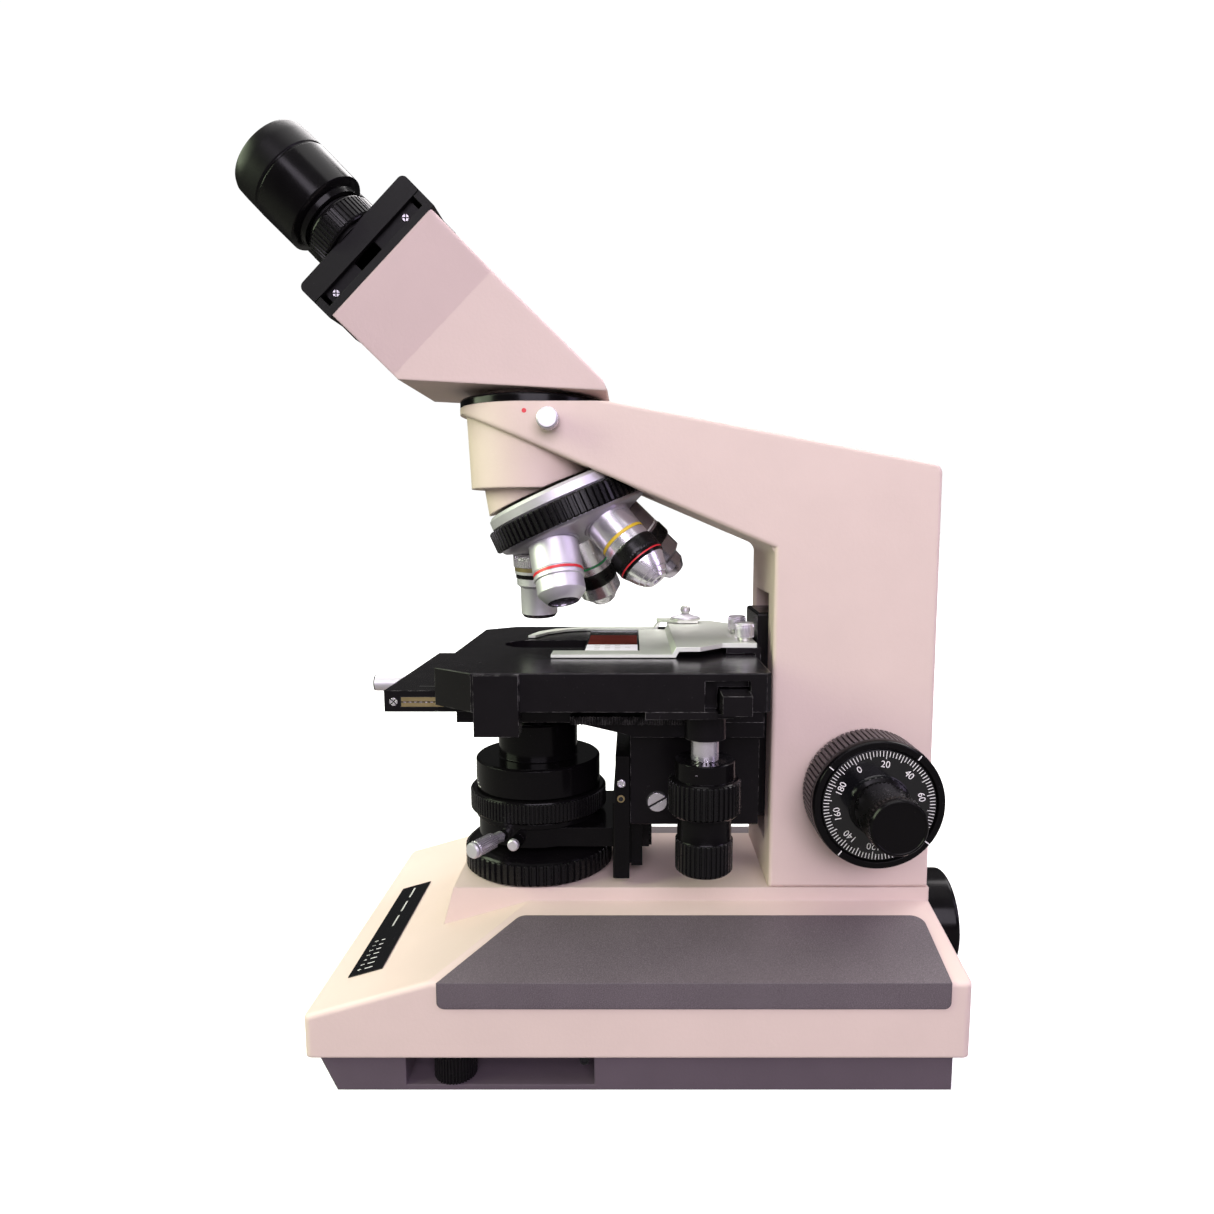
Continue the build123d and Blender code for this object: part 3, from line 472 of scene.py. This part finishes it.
# ---- focus knobs -----------------------------------------------------------
def focus_knobs(side, word):
    """Coarse knob with index marks and fine knob with its numbered dial."""
    at = sideways(side, 0, *FOCUS)
    knob = Piece("coarse_rim_" + word)
    knob.turned(at, PLASTIC, [(38.2, 8.2), (38.2, 29.9), (39.4, 30.7)])
    knob.ribbed(at, RIB, 39.2, 57.8, 32.0, 30.8, 80, lip=0.5, land=0.60)
    knob.turned(at, ANODISED, [(57.8, 30.9), (58.2, 31.8), (60.6, 31.7), (61.6, 31.3),
                               (62.0, 30.8), (62.0, 28.3), (61.6, 27.9), (59.9, 27.75),
                               (59.8, 8.2)], 128)
    for k in range(4):
        a = pi / 2 - radians(-52 + 90 * k)
        turn = at @ Matrix.Rotation(a, 4, "Z")
        knob.slab(turn, WHITE, 28.3, 30.9, -0.26, 0.26, 61.9, 62.08)
    knob.done("coarse", ["coarse_knob_" + word])

    dial = Piece("fine_dial_" + word)
    dial.turned(at, GLOSS, [(60.2, 3.2), (60.2, 27.2), (61.2, 27.3), (61.5, 27.0),
                            (61.6, 15.0), (62.6, 14.4), (63.4, 14.2)], 128)
    for k in range(100):
        a = pi / 2 - radians(-30 + 3.6 * k)
        inner = 22.9 if k % 5 == 0 else 24.0
        turn = at @ Matrix.Rotation(a, 4, "Z")
        dial.slab(turn, WHITE, inner, 26.6, -0.16, 0.16, 61.45, 61.66)
    for k in range(10):
        a = pi / 2 - radians(-30 + 36 * k)
        lettering(dial, at, WHITE, str(20 * k), 4.6, 20.2 * cos(a), 20.2 * sin(a),
                  a - pi / 2, 61.68)
    dial.turned(at, ANODISED, [(63.4, 14.2), (64.4, 12.6), (66.0, 12.4)])
    dial.knurled(at, KNURL, 66.0, 88.4, 13.5, 0.8, 40, 14)
    dial.turned(at, ANODISED, [(88.4, 12.5), (89.0, 13.1), (91.2, 13.0), (92.0, 12.3),
                               (92.0, 11.7), (91.7, 11.5), (91.7, 0)])
    dial.done("fine", ["fine_knob_" + word], smooth=24)


focus_knobs(1, "right")
focus_knobs(-1, "left")


# ---- head ------------------------------------------------------------------
def eyepiece(side, word):
    """Eyepiece, its dioptre ring and the two screws of its slide."""
    at = HEAD @ Matrix.Translation((side * EYE_X, EYE_T, 0))
    eye = Piece("ocular_" + word)
    eye.turned(at, ANODISED, [(10.0, 9.0), (10.0, 11.9), (34.2, 11.9), (34.2, 16.5),
                              (36.6, 17.0), (37.4, 20.2), (38.2, 21.1), (58.4, 21.2),
                              (59.0, 20.6), (59.6, 20.6)], 128)
    eye.turned(at, RUBBER, [(59.6, 20.6), (60.2, 21.1), (68.0, 20.9), (72.6, 20.6),
                            (74.0, 19.8), (74.65, 18.6), (74.7, 17.0), (74.2, 16.2),
                            (72.0, 15.0), (70.6, 12.0)], 128)
    eye.turned(at, LENS, [(70.6, 12.0), (71.2, 8.0), (71.6, 4.0), (71.7, 0)], 64)
    eye.done("ocular_" + word, ["eyepiece_" + word])
    ring = Piece("diopter_grip_" + word)
    ring.turned(at, ANODISED, [(20.1, 14.3), (20.1, 16.4), (20.7, 16.8)])
    ring.ribbed(at, KNURL, 20.7, 30.6, 17.4, 16.7, 48, lip=0.5)
    ring.turned(at, ANODISED, [(30.6, 16.9), (31.4, 16.7), (31.9, 16.2), (31.9, 14.3)])
    ring.done("correction_" + word, ["diopter_" + word])
    trim = Piece("slide_screws_" + word)
    for t in (-25.0, 22.0):
        spot = HEAD @ place((side * 42.02, t, 6.4), (0, 1, 0), (side, 0, 0))
        trim.screw(spot, SILVER, 1.6, 0.6, 0.5, cross=True)
    trim.done("eye_" + word)


eyepiece(1, "right")
eyepiece(-1, "left")

scale = Piece("distance_scale")
for k in range(-6, 7):
    scale.slab(HEAD, WHITE, k * 1.2 - 0.12, k * 1.2 + 0.12, -12, -9.5 if k % 2 else -8.0,
               21.35, 21.48)
scale.done("head")

clamp_at = sideways(1, 0, *pivot("head_clamp_turn")[1:])
clamp = Piece("clamp_head")
clamp.turned(clamp_at, STEEL, [(25.0, 0), (25.0, 2.0), (39.0, 2.0), (39.0, 4.6)], 48)
clamp.ribbed(clamp_at, CHROME, 39.0, 46.6, 5.3, 5.05, 44, lip=0.25, lid=4.4)
clamp.turned(clamp_at, SILVER, [(46.6, 5.0), (47.6, 4.9), (48.15, 4.3), (48.2, 0)], 64)
clamp.done("head_lock", ["head_clamp"])

dot = Piece("red_index")
dot.turned(sideways(1, 0, -54.3, 311.0), RED,
           [(37.4, 1.15), (37.62, 1.1), (37.66, 0)], 24)
dot.done("stand")


# ---- nosepiece -------------------------------------------------------------
nose = Piece("nosepiece_body")
nose.turned(TURRET, SILVER, [(31.6, 36.0), (31.6, 38.6), (33.2, 40.3), (37.4, 40.4),
                             (38.4, 39.4)], 128)
nose.ribbed(TURRET, KNURL, 38.5, 49.5, 43.2, 41.6, 80, lip=0.7, lid=36.0)
nose.turned(TURRET, VIOLET, [(49.4, 41.0), (50.6, 40.4), (51.6, 39.4), (61.4, 14.2), (61.6, 0)],
            128)
# Near-black lining inside the nosepiece: painted shade of its hollow.
nose.turned(TURRET, HOLE_SHADE, [(31.8, 36.0), (44.0, 36.0), (44.0, 8.4), (32.5, 8.4)])
for k in range(PLACES):
    at = objective_at(k)
    nose.turned(at, VIOLET, [(53.0, 13.4), (60.9, 13.4), (61.6, 13.0), (61.9, 12.4),
                             (61.9, 10.2)], 80)
    # Near-black socket walls: painted shade inside each objective's hole.
    nose.turned(at, HOLE_SHADE, [(61.9, 10.15), (50.0, 10.15)], 48)
nose.done("nosepiece", ["turret"])


def objective(index, name, bands):
    """Bands are (material, [(s past the shoulder, r)...]) or (material, s0, s1, r, style)."""
    at = objective_at(index) @ Matrix.Translation((0, 0, SHOULDER))
    part = Piece(name + "_barrel")
    part.turned(at, DARK_CHROME, [(-4.5, 0), (-4.5, 10.1), (0.05, 10.1), (0.05, bands[0][1][0][1])])
    for band in bands:
        if len(band) == 2:
            part.turned(at, band[0], band[1], 112)
        elif band[4] == "rib":
            part.ribbed(at, band[0], band[1], band[2], band[3], band[3] - 0.35, 70, 0.25,
                        band[3] - 2.5)
        else:
            part.knurled(at, band[0], band[1], band[2], band[3], 0.55, 50, 8, band[3] - 2.5)
    part.done("nosepiece", [name])


objective(0, "objective_10", [
    (SILVER, [(0.05, 12.6), (0.5, 13.0), (1.0, 13.0)]),
    (CHROME, 1.0, 7.4, 13.2, "rib"),
    (GOLD, [(7.4, 12.6), (9.6, 12.6)]),
    (SILVER, [(9.6, 12.5), (11.2, 12.4)]),
    (ANODISED, [(11.2, 12.0), (13.4, 12.0)]),
    (SILVER, [(13.4, 11.6), (17.2, 11.6), (18.4, 10.1), (19.0, 9.8), (33.0, 9.8)]),
    (DARK_CHROME, [(33.0, 9.8), (34.8, 8.6), (35.0, 8.2), (35.0, 4.5), (33.6, 4.5)]),
    (LENS, [(33.8, 4.5), (34.0, 0)])])
objective(1, "objective_4", [
    (SILVER, [(0.05, 12.2), (0.6, 12.7), (14.6, 12.7), (14.9, 12.45), (15.2, 12.45)]),
    (RED, [(15.2, 12.6), (16.6, 12.6)]),
    (SILVER, [(16.6, 12.45), (17.0, 12.7), (18.8, 12.7), (19.3, 12.1), (26.0, 12.1),
              (27.0, 11.5), (30.6, 8.4), (31.0, 7.8)]),
    (DARK_CHROME, [(31.0, 7.8), (31.0, 6.2), (30.0, 6.0), (27.0, 6.0)]),
    (LENS, [(27.2, 6.0), (27.6, 0)])])
objective(2, "objective_20", [
    (CHROME, [(0.05, 11.8), (0.5, 12.2), (12.6, 12.2), (12.8, 12.0)]),
    (YELLOW, [(12.8, 12.25), (14.4, 12.25)]),
    (CHROME, [(14.4, 12.0), (14.7, 12.2), (18.6, 12.2), (19.2, 12.2)]),
    (KNURL, 19.2, 26.6, 13.0, "knurl"),
    (ANODISED, [(26.6, 12.3), (27.0, 12.9), (28.2, 12.9)]),
    (RED, [(28.2, 12.6), (29.0, 12.6)]),
    (ANODISED, [(29.0, 12.5), (30.4, 11.9)]),
    (CHROME, [(30.4, 11.6), (31.4, 11.4), (37.0, 8.8), (37.2, 8.2), (39.4, 7.2), (39.6, 6.2),
              (41.0, 5.4), (41.0, 2.5), (40.0, 2.5)]),
    (LENS, [(40.1, 2.5), (40.2, 0)])])
objective(3, "objective_100", [
    (DARK_CHROME, [(0.05, 11.8), (0.5, 12.2), (14.6, 12.2), (14.8, 12.0)]),
    (WHITE, [(14.8, 12.2), (15.8, 12.2)]),
    (DARK_CHROME, [(15.8, 12.0), (16.0, 12.2), (17.2, 12.2)]),
    (KNURL, 17.2, 25.4, 12.8, "knurl"),
    (DARK_CHROME, [(25.4, 11.8), (26.0, 11.6), (33.6, 11.6), (35.8, 8.2), (40.3, 8.0),
                   (44.3, 5.4), (44.7, 4.8), (44.7, 1.5), (44.0, 1.5)]),
    (LENS, [(44.1, 1.5), (44.2, 0)])])
objective(4, "objective_40", [
    (CHROME, [(0.05, 11.8), (0.5, 12.2), (16.0, 12.2), (16.2, 12.0)]),
    (GREEN, [(16.2, 12.25), (17.4, 12.25)]),
    (CHROME, [(17.4, 12.0), (17.6, 12.2), (21.2, 12.2)]),
    (KNURL, 21.2, 30.0, 12.8, "knurl"),
    (CHROME, [(30.0, 12.0), (37.4, 12.0), (38.0, 11.4), (41.4, 8.2), (43.8, 6.6), (44.4, 5.8),
              (44.4, 2.0), (43.6, 2.0)]),
    (LENS, [(43.7, 2.0), (43.8, 0)])])


# ---- condenser and field ring ----------------------------------------------
barrel = Piece("condenser_body")
barrel.turned(UP, ANODISED, [(92.0, 18.0), (92.0, 25.9), (101.5, 25.9), (101.6, 33.6),
                             (102.0, 34.0), (104.2, 34.0), (104.6, 33.6), (104.6, 27.5),
                             (117.0, 27.5), (117.0, 33.1), (117.4, 33.5), (132.0, 33.5),
                             (133.0, 32.5), (133.0, 21.8), (133.4, 21.3), (152.0, 21.3),
                             (153.0, 20.3), (153.0, 13.2), (167.6, 13.0), (168.0, 12.6),
                             (168.0, 10.0), (120.0, 10.0), (116.0, 18.0), (92.0, 18.0)], 128)
for k in range(9):
    a = radians(-62.0 - 4.2 * k)
    at = UP @ Matrix.Translation((0, 0, 119.0 + 1.45 * k)) @ Matrix.Rotation(a, 4, "Z")
    long = 2.0 if k % 2 == 0 else 1.1
    barrel.slab(at, DIM_WHITE, 33.4, 33.62, -long, long, -0.22, 0.22)
barrel.done("condenser", ["condenser_barrel"])

iris = Piece("aperture_grip")
iris.turned(UP, ANODISED, [(105.0, 27.8), (105.0, 35.6), (105.6, 36.0)])
iris.ribbed(UP, KNURL, 105.6, 115.6, 36.8, 36.1, 110, lip=0.35)
iris.turned(UP, ANODISED, [(115.6, 36.2), (116.2, 36.0), (116.6, 35.4), (116.6, 27.8),
                           (105.0, 27.8)])
iris.done("aperture", ["aperture_ring"])

field = Piece("field_grip")
field.turned(UP, ANODISED, [(73.0, 27.3), (73.0, 38.4), (73.8, 39.2)])
field.ribbed(UP, KNURL, 73.8, 84.6, 40.0, 38.8, 66, lip=0.5)
field.turned(UP, ANODISED, [(84.6, 39.2), (85.4, 38.6), (86.0, 38.0), (88.0, 34.2), (88.0, 22.9),
                            (87.6, 22.5), (82.4, 22.5), (82.4, 27.3), (73.0, 27.3)], 128)
field.done("field", ["field_ring"])

for word, angle in (("right", SCREW_ANGLE), ("left", 180.0 - SCREW_ANGLE)):
    at = radial(UP, SCREW_Z, radians(angle))
    pin = Piece("centring_knob_" + word)
    pin.turned(at, STEEL, [(26.8, 0), (26.8, 2.0), (34.0, 2.0), (34.0, 3.0)], 40)
    pin.turned(at, CHROME, [(34.0, 3.0), (40.0, 3.0), (40.4, 3.8)], 48)
    pin.ribbed(at, CHROME, 40.4, 53.6, 4.15, 3.8, 26, lip=0.2, lid=2.0)
    pin.turned(at, SILVER, [(53.6, 3.8), (55.4, 4.05), (56.4, 3.4), (56.5, 0)], 48)
    pin.done("centring_" + word, ["centering_screw_" + word])

at = radial(UP, SCREW_Z, radians(CLIP_ANGLE))
pin = Piece("clip_knob")
pin.turned(at, STEEL, [(26.8, 0), (26.8, 2.0), (34.0, 2.0), (34.0, 2.9)], 40)
pin.ribbed(at, ANODISED, 34.0, 40.6, 3.2, 2.95, 24, lip=0.2, lid=2.0)
pin.turned(at, SILVER, [(40.6, 3.0), (42.4, 2.9), (43.0, 2.3), (43.0, 0)], 48)
pin.done("clip", ["condenser_clamp"])


# ---- stage drive knobs -----------------------------------------------------
DRIVE = Matrix.Translation((*pivot("y_knob_turn")[:2], 0))
upper = Piece("drive_knob_upper")
upper.turned(DRIVE, ANODISED, [(124.4, 3.6), (124.4, 15.6), (125.2, 16.2)])
upper.ribbed(DRIVE, KNURL, 125.2, 140.6, 16.8, 15.9, 40, lip=0.5)
upper.turned(DRIVE, ANODISED, [(140.6, 16.2), (141.2, 15.6), (141.4, 14.2), (149.6, 14.0),
                               (150.0, 13.6), (150.0, 6.4)])
upper.turned(DRIVE, CHROME, [(150.0, 6.4), (159.6, 6.4), (159.6, 5.45), (163.4, 5.45)], 64)
upper.ribbed(DRIVE, STEEL, 163.4, 167.4, 8.1, 7.2, 16, lip=0.1, lid=5.4)
upper.turned(DRIVE, STEEL, [(167.4, 5.45), (170.0, 5.45), (170.0, 3.6)], 64)
screw_at = radial(DRIVE, 145.4, -0.35)
# Near-black disc round the set screw: painted shade of its hole.
upper.turned(screw_at, HOLE_SHADE, [(14.03, 1.3), (14.06, 0)], 24)
upper.turned(screw_at, DARK_CHROME, [(14.03, 0.75), (14.09, 0.6), (14.09, 0)], 24)
upper.done("y_drive", ["y_knob"])

lower = Piece("drive_knob_lower")
lower.turned(DRIVE, ANODISED, [(96.8, 0), (96.8, 12.4), (97.5, 13.0)])
lower.ribbed(DRIVE, KNURL, 97.5, 112.4, 13.4, 12.7, 36, lip=0.4)
lower.turned(DRIVE, ANODISED, [(112.4, 12.9), (113.0, 12.6), (123.4, 12.6), (124.0, 12.0),
                               (124.0, 3.5), (169.5, 3.5), (169.5, 0)])
lower.done("x_drive", ["x_knob"])


# ---- stage and specimen ----------------------------------------------------
for k, (x, y) in enumerate(HOLDER_SCREWS):
    at = Matrix.Translation((x, y, 0))
    thumb = Piece("holder_thumb_%d" % (k + 1))
    thumb.turned(at, STEEL, [(196.4, 2.0), (198.6, 2.0), (198.6, 3.4), (199.2, 3.6),
                             (200.6, 3.6)], 48)
    thumb.ribbed(at, CHROME, 200.6, 207.2, 4.8, 4.5, 32, lip=0.25, lid=2.0)
    thumb.turned(at, SILVER, [(207.2, 4.5), (207.9, 4.1), (208.0, 0)], 48)
    thumb.done("carriage", ["holder_screws"])

finger_at = Matrix.Translation((*pivot("finger_open")[:2], 0))
knob = Piece("pivot_button")
knob.turned(finger_at, SILVER, [(201.4, 8.6), (202.0, 8.4), (203.0, 4.6), (203.6, 3.2),
                                (204.2, 2.0), (204.6, 2.2), (205.6, 2.95), (206.6, 3.05),
                                (207.8, 2.7), (209.0, 1.6), (209.45, 0)], 56)
knob.done("finger")

slide = Piece("slide_label")
glass = Matrix.Translation((0, 0, top_of("specimen_slide")))
slide.slab(glass, PAPER, 14.0, 35.2, -26.2, 0.0, 0.02, 0.1)
for row in range(3):
    for col in range(3 + row % 2):
        x = 17.0 + row * 6.0
        y = -22.0 + col * 5.2
        slide.slab(glass, DIM_WHITE, x, x + 1.1, y, y + 2.8, 0.09, 0.14)
slide.slab(glass, TISSUE, -22.0, 13.0, -26.0, -0.2, 0.0, 0.12)
slide.done("carriage")

guide = Piece("guide_trim")
guide_x = right_of("stage_base_plate")
near = sideways(1, guide_x, 0, 0)
# Near-black strip showing between the brass strips and rollers: painted shade in the gaps.
guide.slab(near, HOLE_SHADE, -110.5, -20.0, 172.6, 177.8, -0.05, 0.04)
guide.slab(near, GOLD, -110.0, -20.0, 173.0, 174.9, -0.02, 0.3)
guide.slab(near, GOLD, -110.0, -20.0, 175.5, 177.4, -0.02, 0.3)
for k in range(36):
    y = -109.0 + k * 2.5
    guide.slab(near, DARK_CHROME, y, y + 1.2, 174.7, 175.7, -0.02, 0.22)
at = sideways(1, guide_x, -113.6, 175.3)
guide.screw(at, CHROME, 1.9, 0.42, 0.55, cross=True)
rod = place((20.0, 0, 175.6), (1, 0, 0), (0, -1, 0))
guide.turned(rod, SILVER, [(118.05, 4.06), (134.9, 4.06), (135.55, 3.4), (135.55, 0)], 64)
# Thin near-black strip on the top: painted shade of a narrow gap.
guide.slab(Matrix(), HOLE_SHADE, 53.0, 54.2, -104.0, -92.0, 180.45, 180.56)
guide.done("carrier")

trims = Piece("bracket_screws")
at = sideways(1, 34.0, 10.0, 117.0)
# Near-black disc a little wider than the screw head: painted shade round the head.
trims.turned(at, HOLE_SHADE, [(0.02, 5.6), (0.05, 0)], 48)
trims.screw(at, CHROME, 4.9, 1.6, 1.1)
for y, z in ((40.0, 165.0), (-60.0, 165.0)):
    trims.screw(sideways(1, 48.0, y, z), DARK_CHROME, 2.0, 0.5, 0.6)
trims.done("carrier")

block = Piece("condenser_fittings")
at = sideways(1, 36.0, -8.2, 127.0)
block.turned(at, CHROME, [(0.0, 2.1), (0.5, 2.0), (0.6, 1.4), (0.25, 1.2), (0.2, 0)], 32)
at = sideways(1, 36.0, -8.4, 119.0)
block.turned(at, GOLD, [(0.0, 2.0), (0.4, 1.9), (0.45, 1.2)], 32)
# Near-black disc in the brass ring: painted shade at the bottom of its hole.
block.turned(at, HOLE_SHADE, [(0.3, 1.25), (0.3, 0)], 32)
block.done("condenser")


# ---- base ------------------------------------------------------------------
PANEL_RISE = 0.2885               # slope of the wedge under the front panel
slope = place((20.7, -130.3, 38.0 + PANEL_RISE * 20.5), (1, 0, 0), (0, -PANEL_RISE, 1))
marks = Piece("panel_marks")
for k in range(7):
    x = 16.0 + 4.6 * k
    marks.slab(slope, WHITE, x, x + 0.5, -1.6, 0.2 + 0.35 * k, 0.48, 0.56)
    lettering(marks, slope, WHITE, str(k), 2.6, x + 0.25, -4.4, 0.0, 0.56)
for k in range(3):
    marks.slab(slope, DIM_WHITE, -44.0 + 17.0 * k, -32.0 + 17.0 * k, -0.5, 0.5, 0.48, 0.55)
marks.done("stand")

# Lining and bottom of the hole in the tray side, drawn near-black: painted shade of the hole.
recess = Piece("tray_hole_shade")
at = sideways(1, 91.0, -24.5, 14.4)
recess.turned(at, HOLE_SHADE, [(-18.0, 2.2), (0.05, 2.2), (0.05, 1.7), (-1.0, 1.5), (-1.0, 0)], 40)
recess.done("stand")

lamp_at = place((0, 150.3, 38.0), (1, 0, 0), (0, 1, 0))
vents = Piece("lamp_cap_grip")
vents.ribbed(lamp_at, KNURL, 1.2, 6.2, 27.2, 26.6, 90, lip=0.3, lid=25.0)
vents.done("stand")


# ---- floor, light and camera -----------------------------------------------
def floor_mesh(count=64):
    """Round floor, as rings of faces about the origin, in metres."""
    bm = bmesh.new()
    last = None
    for r in (0.0, 0.3, 0.8, 2.0, 6.0, 18.0):
        now = [bm.verts.new((r * cos(2 * pi * i / count), r * sin(2 * pi * i / count), 0.0))
               for i in range(count)] if r else [bm.verts.new((0, 0, 0))]
        if last is not None:
            for i in range(count):
                j = (i + 1) % count
                bm.faces.new([last[0], now[i], now[j]] if len(last) == 1
                             else [last[i], now[i], now[j], last[j]])
        last = now
    mesh = bpy.data.meshes.new("studio_floor")
    bm.to_mesh(mesh)
    bm.free()
    obj = bpy.data.objects.new("studio_floor", mesh)
    scene.collection.objects.link(obj)
    return obj


floor = floor_mesh()
white = surface("floor_paper", (0.88, 0.88, 0.88), rough=0.9, mottle=0.004, specular=0.0)
shader = white.node_tree.nodes["Principled BSDF"]
shader.inputs["Emission Color"].default_value = (1, 1, 1, 1)
ft = white.node_tree
where = ft.nodes.new("ShaderNodeNewGeometry")
far_off = ft.nodes.new("ShaderNodeVectorMath")
far_off.operation = "LENGTH"
ft.links.new(where.outputs["Position"], far_off.inputs[0])
spread = ft.nodes.new("ShaderNodeMapRange")
spread.inputs["From Min"].default_value, spread.inputs["From Max"].default_value = 0.35, 2.2
spread.inputs["To Min"].default_value, spread.inputs["To Max"].default_value = 0.36, 1.05
ft.links.new(far_off.outputs["Value"], spread.inputs["Value"])
ft.links.new(spread.outputs["Result"], shader.inputs["Emission Strength"])
# The floor is bright to look at but gives back little light, so blacks stay deep.
shade = ft.nodes.new("ShaderNodeBsdfDiffuse")
shade.inputs["Color"].default_value = (0.16, 0.155, 0.15, 1)
rays = ft.nodes.new("ShaderNodeLightPath")
pick = ft.nodes.new("ShaderNodeMixShader")
ft.links.new(rays.outputs["Is Camera Ray"], pick.inputs[0])
ft.links.new(shade.outputs[0], pick.inputs[1])
ft.links.new(shader.outputs[0], pick.inputs[2])
ft.links.new(pick.outputs[0], ft.nodes["Material Output"].inputs["Surface"])
floor.data.materials.append(white)


def softbox(name, where, towards, size, power, color):
    """Rectangular lamp; places and sizes in metres, power in watts."""
    data = bpy.data.lights.new(name, "AREA")
    data.shape, data.size, data.size_y = "RECTANGLE", size[0], size[1]
    data.energy, data.color = power, color
    lamp = bpy.data.objects.new(name, data)
    lamp.location = where
    lamp.rotation_euler = (Vector(towards) - Vector(where)).to_track_quat("-Z", "Y").to_euler()
    scene.collection.objects.link(lamp)


AIM = (0, 0, 0.2)
softbox("key", (2.0, 0.2, 1.1), AIM, (1.7, 1.3), 45.0, (0.94, 0.86, 1.0))
softbox("front", (0.35, -1.7, 1.0), AIM, (1.2, 1.1), 40.0, (0.85, 1.0, 0.68))
softbox("top", (0.0, 0.0, 2.1), AIM, (1.6, 1.6), 18.0, (1.0, 0.98, 0.97))
softbox("rear", (0.6, 1.6, 0.9), (0, 0, 0.25), (0.5, 1.2), 9.0, (0.80, 0.66, 1.0))
softbox("far", (-1.1, -0.3, 1.9), AIM, (0.9, 1.2), 22.0, (1.0, 0.96, 0.97))
softbox("back", (-0.6, 1.3, 1.7), AIM, (0.9, 1.0), 20.0, (1.0, 0.96, 0.97))

world = bpy.data.worlds.new("studio")
scene.world = world
world.use_nodes = True
wt = world.node_tree
back = wt.nodes["Background"]
back.inputs["Color"].default_value = (1, 1, 1, 1)
back.inputs["Strength"].default_value = 1.02
dim = wt.nodes.new("ShaderNodeBackground")
dim.inputs["Strength"].default_value = 0.42
sky = wt.nodes.new("ShaderNodeTexCoord")
height = wt.nodes.new("ShaderNodeSeparateXYZ")
wt.links.new(sky.outputs["Generated"], height.inputs[0])
wt.links.new(ramp(wt, height.outputs["Z"], [(0.0, 0.06), (0.25, 0.10), (0.9, 1.0)]),
             dim.inputs["Color"])
path = wt.nodes.new("ShaderNodeLightPath")
mix = wt.nodes.new("ShaderNodeMixShader")
wt.links.new(path.outputs["Is Camera Ray"], mix.inputs[0])
wt.links.new(dim.outputs[0], mix.inputs[1])
wt.links.new(back.outputs[0], mix.inputs[2])
wt.links.new(mix.outputs[0], wt.nodes["World Output"].inputs["Surface"])
scene.view_settings.view_transform = "Standard"

lens = bpy.data.cameras.new("camera")
lens.sensor_width, lens.lens = 36.0, FOCAL_LENGTH
lens.shift_x, lens.shift_y = -0.0206, 0.0139
camera = bpy.data.objects.new("camera", lens)
camera.location = CAMERA_AT
pitch = radians(CAMERA_PITCH)
camera.rotation_euler = Vector((-cos(pitch), 0, -sin(pitch))).to_track_quat("-Z", "Y").to_euler()
scene.collection.objects.link(camera)
scene.camera = camera
